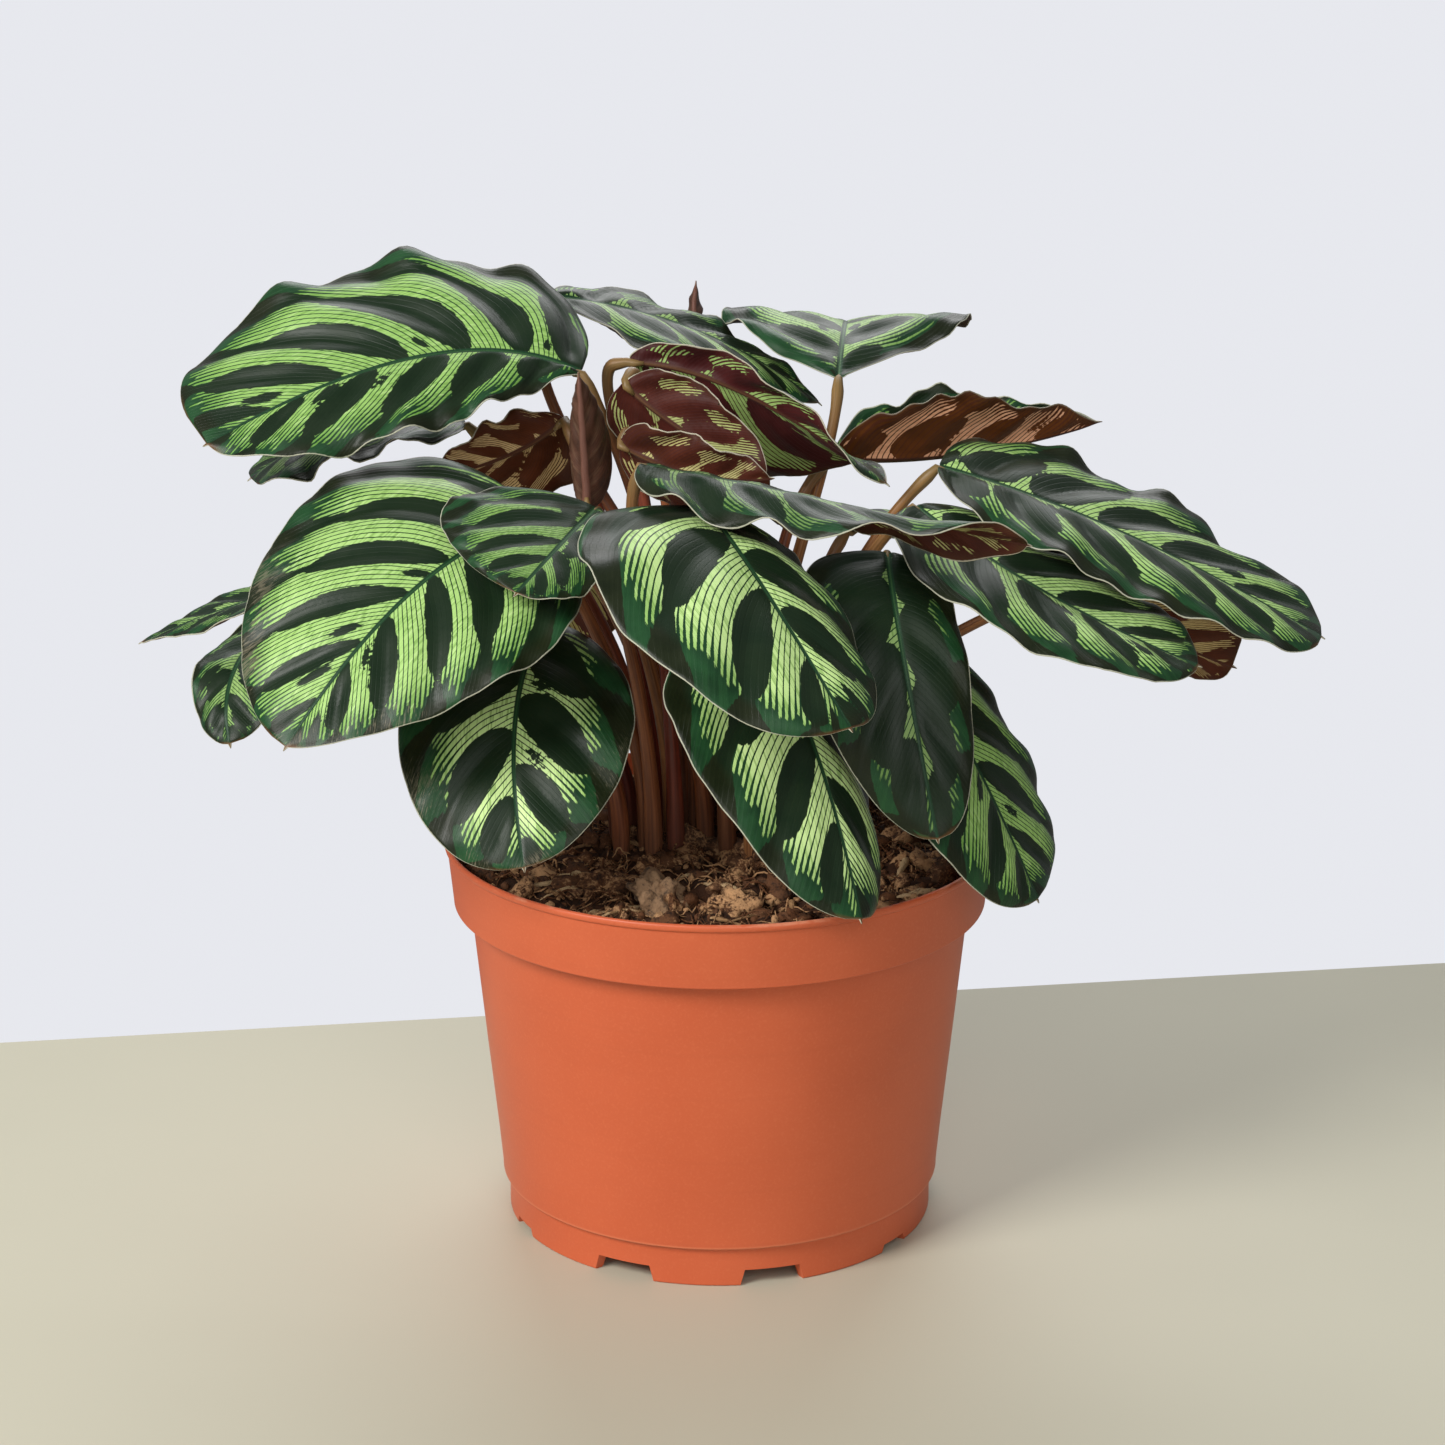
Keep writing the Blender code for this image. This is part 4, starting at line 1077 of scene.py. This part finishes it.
def add_soil_bed(material):
    points = [(0, 0, soil_height(0, 0))]
    for ring in range(1, SOIL_RINGS + 1):
        around = ring_points(SOIL_RADIUS * ring / SOIL_RINGS, SOIL_SPOKES)
        points += [(x, y, soil_height(x, y)) for x, y in around]
    for radius, height in SOIL_SIDE:
        points += [(x, y, height) for x, y in ring_points(radius, SOIL_SPOKES)]
    points.append((0, 0, SOIL_SIDE[-1][1]))
    faces = turned_faces(SOIL_RINGS + len(SOIL_SIDE), SOIL_SPOKES)
    mesh = mesh_from("soil_bed", points, faces, [material])
    add_vectors(mesh, "crumb", [SOIL_TONE] * len(points))
    bed = new_object("soil_bed", mesh)
    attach(bed, "root")
    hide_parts("soil")


def ball_shape(detail):
    body = bmesh.new()
    bmesh.ops.create_icosphere(body, subdivisions=detail, radius=1.0)
    points = np.array([tuple(vertex.co) for vertex in body.verts])
    faces = [tuple(vertex.index for vertex in face.verts) for face in body.faces]
    body.free()
    return points, faces


def scattered(draws, count, reach, inner=0.0):
    """Places spread evenly over the soil, as x and y."""
    radius = np.sqrt(draws.uniform(inner**2, reach**2, count))
    angle = draws.uniform(0, 2 * math.pi, count)
    return np.stack((radius * np.cos(angle), radius * np.sin(angle)), axis=1)


def add_litter(name, bits, material):
    """One piece from many small bodies, each with its own tone and share of grey."""
    points, faces, tones, count = [], [], [], 0
    for (body, sides), tone, grey in bits:
        points.append(body)
        faces += [tuple(index + count for index in face) for face in sides]
        tones += [(tone, grey, 0.0)] * len(body)
        count += len(body)
    points = np.concatenate(points)
    far = np.hypot(points[:, 0], points[:, 1])
    points[:, :2] *= np.minimum(1, SOIL_REACH / np.maximum(far, 1))[:, None]
    mesh = mesh_from(name, points, faces, [material])
    add_vectors(mesh, "crumb", tones)
    piece = new_object(name, mesh)
    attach(piece, "root")


def lump(shape, place, size, draws, roughness):
    """A ball pulled out of round by noise, then turned and placed."""
    points, faces = shape
    offset = Vector(draws.uniform(-50, 50, 3))
    body = []
    for point in points:
        grow = 1 + roughness * noise.noise(Vector(point) * 1.3 + offset)
        grow += 0.5 * roughness * noise.noise(Vector(point) * 3.7 + offset)
        body.append(np.array(point) * grow)
    body = np.array(body) * size
    turn = Matrix.Rotation(draws.uniform(0, 2 * math.pi), 3, "Z")
    tilt = Matrix.Rotation(draws.uniform(-0.5, 0.5), 3, "X")
    return body @ np.array(turn @ tilt).T + place, faces


def chips(draws):
    """Bits of bark, and the one big lump near the front."""
    for count, reach, inner, sizes, spread, form, above, rough, tone, grey, detail in CHIPS:
        ball = ball_shape(detail)
        for x, y in scattered(draws, count, reach, inner):
            size = draws.uniform(*sizes) * draws.uniform(*spread, 3) * form
            place = (x, y, soil_height(x, y) + above * size[2])
            body = lump(ball, place, size, draws, rough)
            yield body, draws.uniform(*tone), draws.uniform(0, grey)
    place = (-16, -46.5, soil_height(-16, -46) + 3.2)
    yield lump(ball_shape(4), place, BIG_LUMP_SIZE, draws, 1.0), 0.9, 0.9


def fibres(draws):
    """Thin bent hairs of coir, each lying close to the soil."""
    steps = np.linspace(0, 1, FIBRE_STEPS)
    for x, y in scattered(draws, FIBRE_COUNT, 69.0):
        length = draws.uniform(5, 20)
        heading = draws.uniform(0, 2 * math.pi)
        bend = draws.uniform(-1.6, 1.6)
        path = []
        for share in steps:
            angle = heading + bend * share
            x += math.cos(angle) * length / FIBRE_STEPS
            y += math.sin(angle) * length / FIBRE_STEPS
            far = math.hypot(x, y)
            if far > FIBRE_REACH:
                x, y = x * FIBRE_REACH / far, y * FIBRE_REACH / far
            arch = draws.uniform(0.2, 2.6) * math.sin(math.pi * share)
            path.append((x, y, soil_height(x, y) + 0.1 + arch))
        radii = draws.uniform(0.12, 0.34) * (1 - 0.7 * np.abs(2 * steps - 1) ** 3)
        yield tube(np.array(path), radii, 5), draws.uniform(0.2, 1.0), 0.0


def splinters(draws):
    """Long thin bits of wood, the lightest things on the soil."""
    wanted = list(SPLINTERS)
    for place in scattered(draws, SPLINTER_COUNT, 66.0, 16.0):
        wanted.append((place, draws.uniform(5, 15), draws.uniform(-1.5, 1.5)))
    steps = np.linspace(-0.5, 0.5, SPLINTER_STEPS)
    for (x, y), length, heading in wanted:
        path = []
        for share in steps:
            px = x + math.cos(heading) * length * share
            py = y + math.sin(heading) * length * share
            bow = 0.6 * math.cos(math.pi * share) + draws.uniform(-0.15, 0.15)
            path.append((px, py, soil_height(px, py) * 0.5 + soil_height(x, y) * 0.5 + 0.7 + bow))
        radii = draws.uniform(0.35, 0.85) * (1 - 0.6 * np.abs(2 * steps) ** 3)
        radii = radii * draws.uniform(0.6, 1.4, SPLINTER_STEPS)
        yield tube(np.array(path), radii, 5), draws.uniform(0.1, 1.0), draws.uniform(0.0, 0.4)


def crumbs(draws):
    """Small grains strewn over the whole soil."""
    points, faces = ball_shape(1)
    for x, y in scattered(draws, CRUMB_COUNT, 71.0):
        size = draws.uniform(0.5, 1.5) * draws.uniform(0.6, 1.4, 3)
        body = points * size * draws.uniform(0.75, 1.25, (len(points), 1))
        body = body @ np.array(Matrix.Rotation(draws.uniform(0, 6.28), 3, "Z")).T
        body = body + (x, y, soil_height(x, y) + 0.25)
        yield (body, faces), draws.uniform(0.0, 1.0), draws.uniform(0, 0.2)


def add_soil():
    add_soil_bed(soil_material("potting_mix_skin", *EARTH))
    bark = soil_material("bark_and_coir", *BARK)
    wood = soil_material("pale_wood", *WOOD)
    for name, bits, seed, material in (
            ("bark_chips", chips, 11, bark), ("soil_crumbs", crumbs, 47, bark),
            ("coir_fibres", fibres, 23, bark), ("wood_splinters", splinters, 31, wood)):
        add_litter(name, bits(np.random.default_rng(seed)), material)


# Plant

def add_leaves():
    open_materials = [blade_top_material(), blade_under_material()]
    rolled = rolled_material()
    skin = stalk_material()
    for seed, (name, blade) in enumerate(LEAVES.items(), start=1):
        materials = [rolled, rolled] if blade.rolled else open_materials
        piece = new_object(f"{name}_blade_skin",
                           blade_mesh(f"{name}_blade_skin", blade, seed, materials))
        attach(piece, "root")
        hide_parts(f"{name}_blade")
        stalk = new_object(f"{name}_stalk_skin",
                           stalk_mesh(f"{name}_stalk_skin", blade, seed, [skin]))
        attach(stalk, "root")
        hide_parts(f"{name}_stalk")


# Stage, light and camera

def add_table():
    """A pale slab whose far edge runs slightly askew."""
    corners = []
    for x in (-TABLE_REACH, TABLE_REACH):
        for y in (-TABLE_REACH, TABLE_EDGE_MIDDLE + TABLE_EDGE_SLOPE * x):
            for z in (-TABLE_THICKNESS, 0):
                corners.append((x / MM, y / MM, z / MM))
    table = block_cutter("table", corners, 0.0)
    table.data.materials.append(table_material())


def add_lights():
    """Soft lamps, a dim even light, and a plain wall that only the camera sees."""
    world = bpy.data.worlds.new("studio")
    bpy.context.scene.world = world
    world.use_nodes = True
    nodes, link = world.node_tree.nodes, world.node_tree.links.new
    ambient, wall = nodes["Background"], nodes.new("ShaderNodeBackground")
    ambient.inputs["Strength"].default_value = AMBIENT_STRENGTH
    choose = nodes.new("ShaderNodeMixShader")
    link(nodes.new("ShaderNodeLightPath").outputs["Is Camera Ray"], choose.inputs[0])
    for index, shade, colour in ((1, ambient, AMBIENT_COLOUR), (2, wall, WALL_COLOUR)):
        shade.inputs["Color"].default_value = (*colour, 1)
        link(shade.outputs[0], choose.inputs[index])
    link(choose.outputs[0], nodes["World Output"].inputs["Surface"])
    for name, (place, size, watts, colour) in LIGHTS.items():
        light = bpy.data.lights.new(name, "AREA")
        light.size = size
        light.energy = watts
        light.color = colour
        lamp = new_object(name, light)
        lamp.location = place
        lamp.rotation_euler = (LIGHT_AIM - lamp.location).to_track_quat("-Z", "Y").to_euler()


def add_camera():
    data = bpy.data.cameras.new("camera")
    data.lens = LENS
    data.sensor_width = SENSOR
    data.sensor_height = SENSOR
    data.clip_start = 0.05
    data.clip_end = 60.0
    camera = new_object("camera", data)
    forward = Vector((0, math.cos(CAMERA_ELEVATION), -math.sin(CAMERA_ELEVATION)))
    camera.location = LOOK_AT - forward * CAMERA_DISTANCE
    camera.rotation_euler = forward.to_track_quat("-Z", "Y").to_euler()
    bpy.context.scene.camera = camera


def main():
    bpy.context.scene.view_settings.view_transform = "Standard"
    add_pot()
    add_soil()
    add_leaves()
    add_table()
    add_lights()
    add_camera()


main()
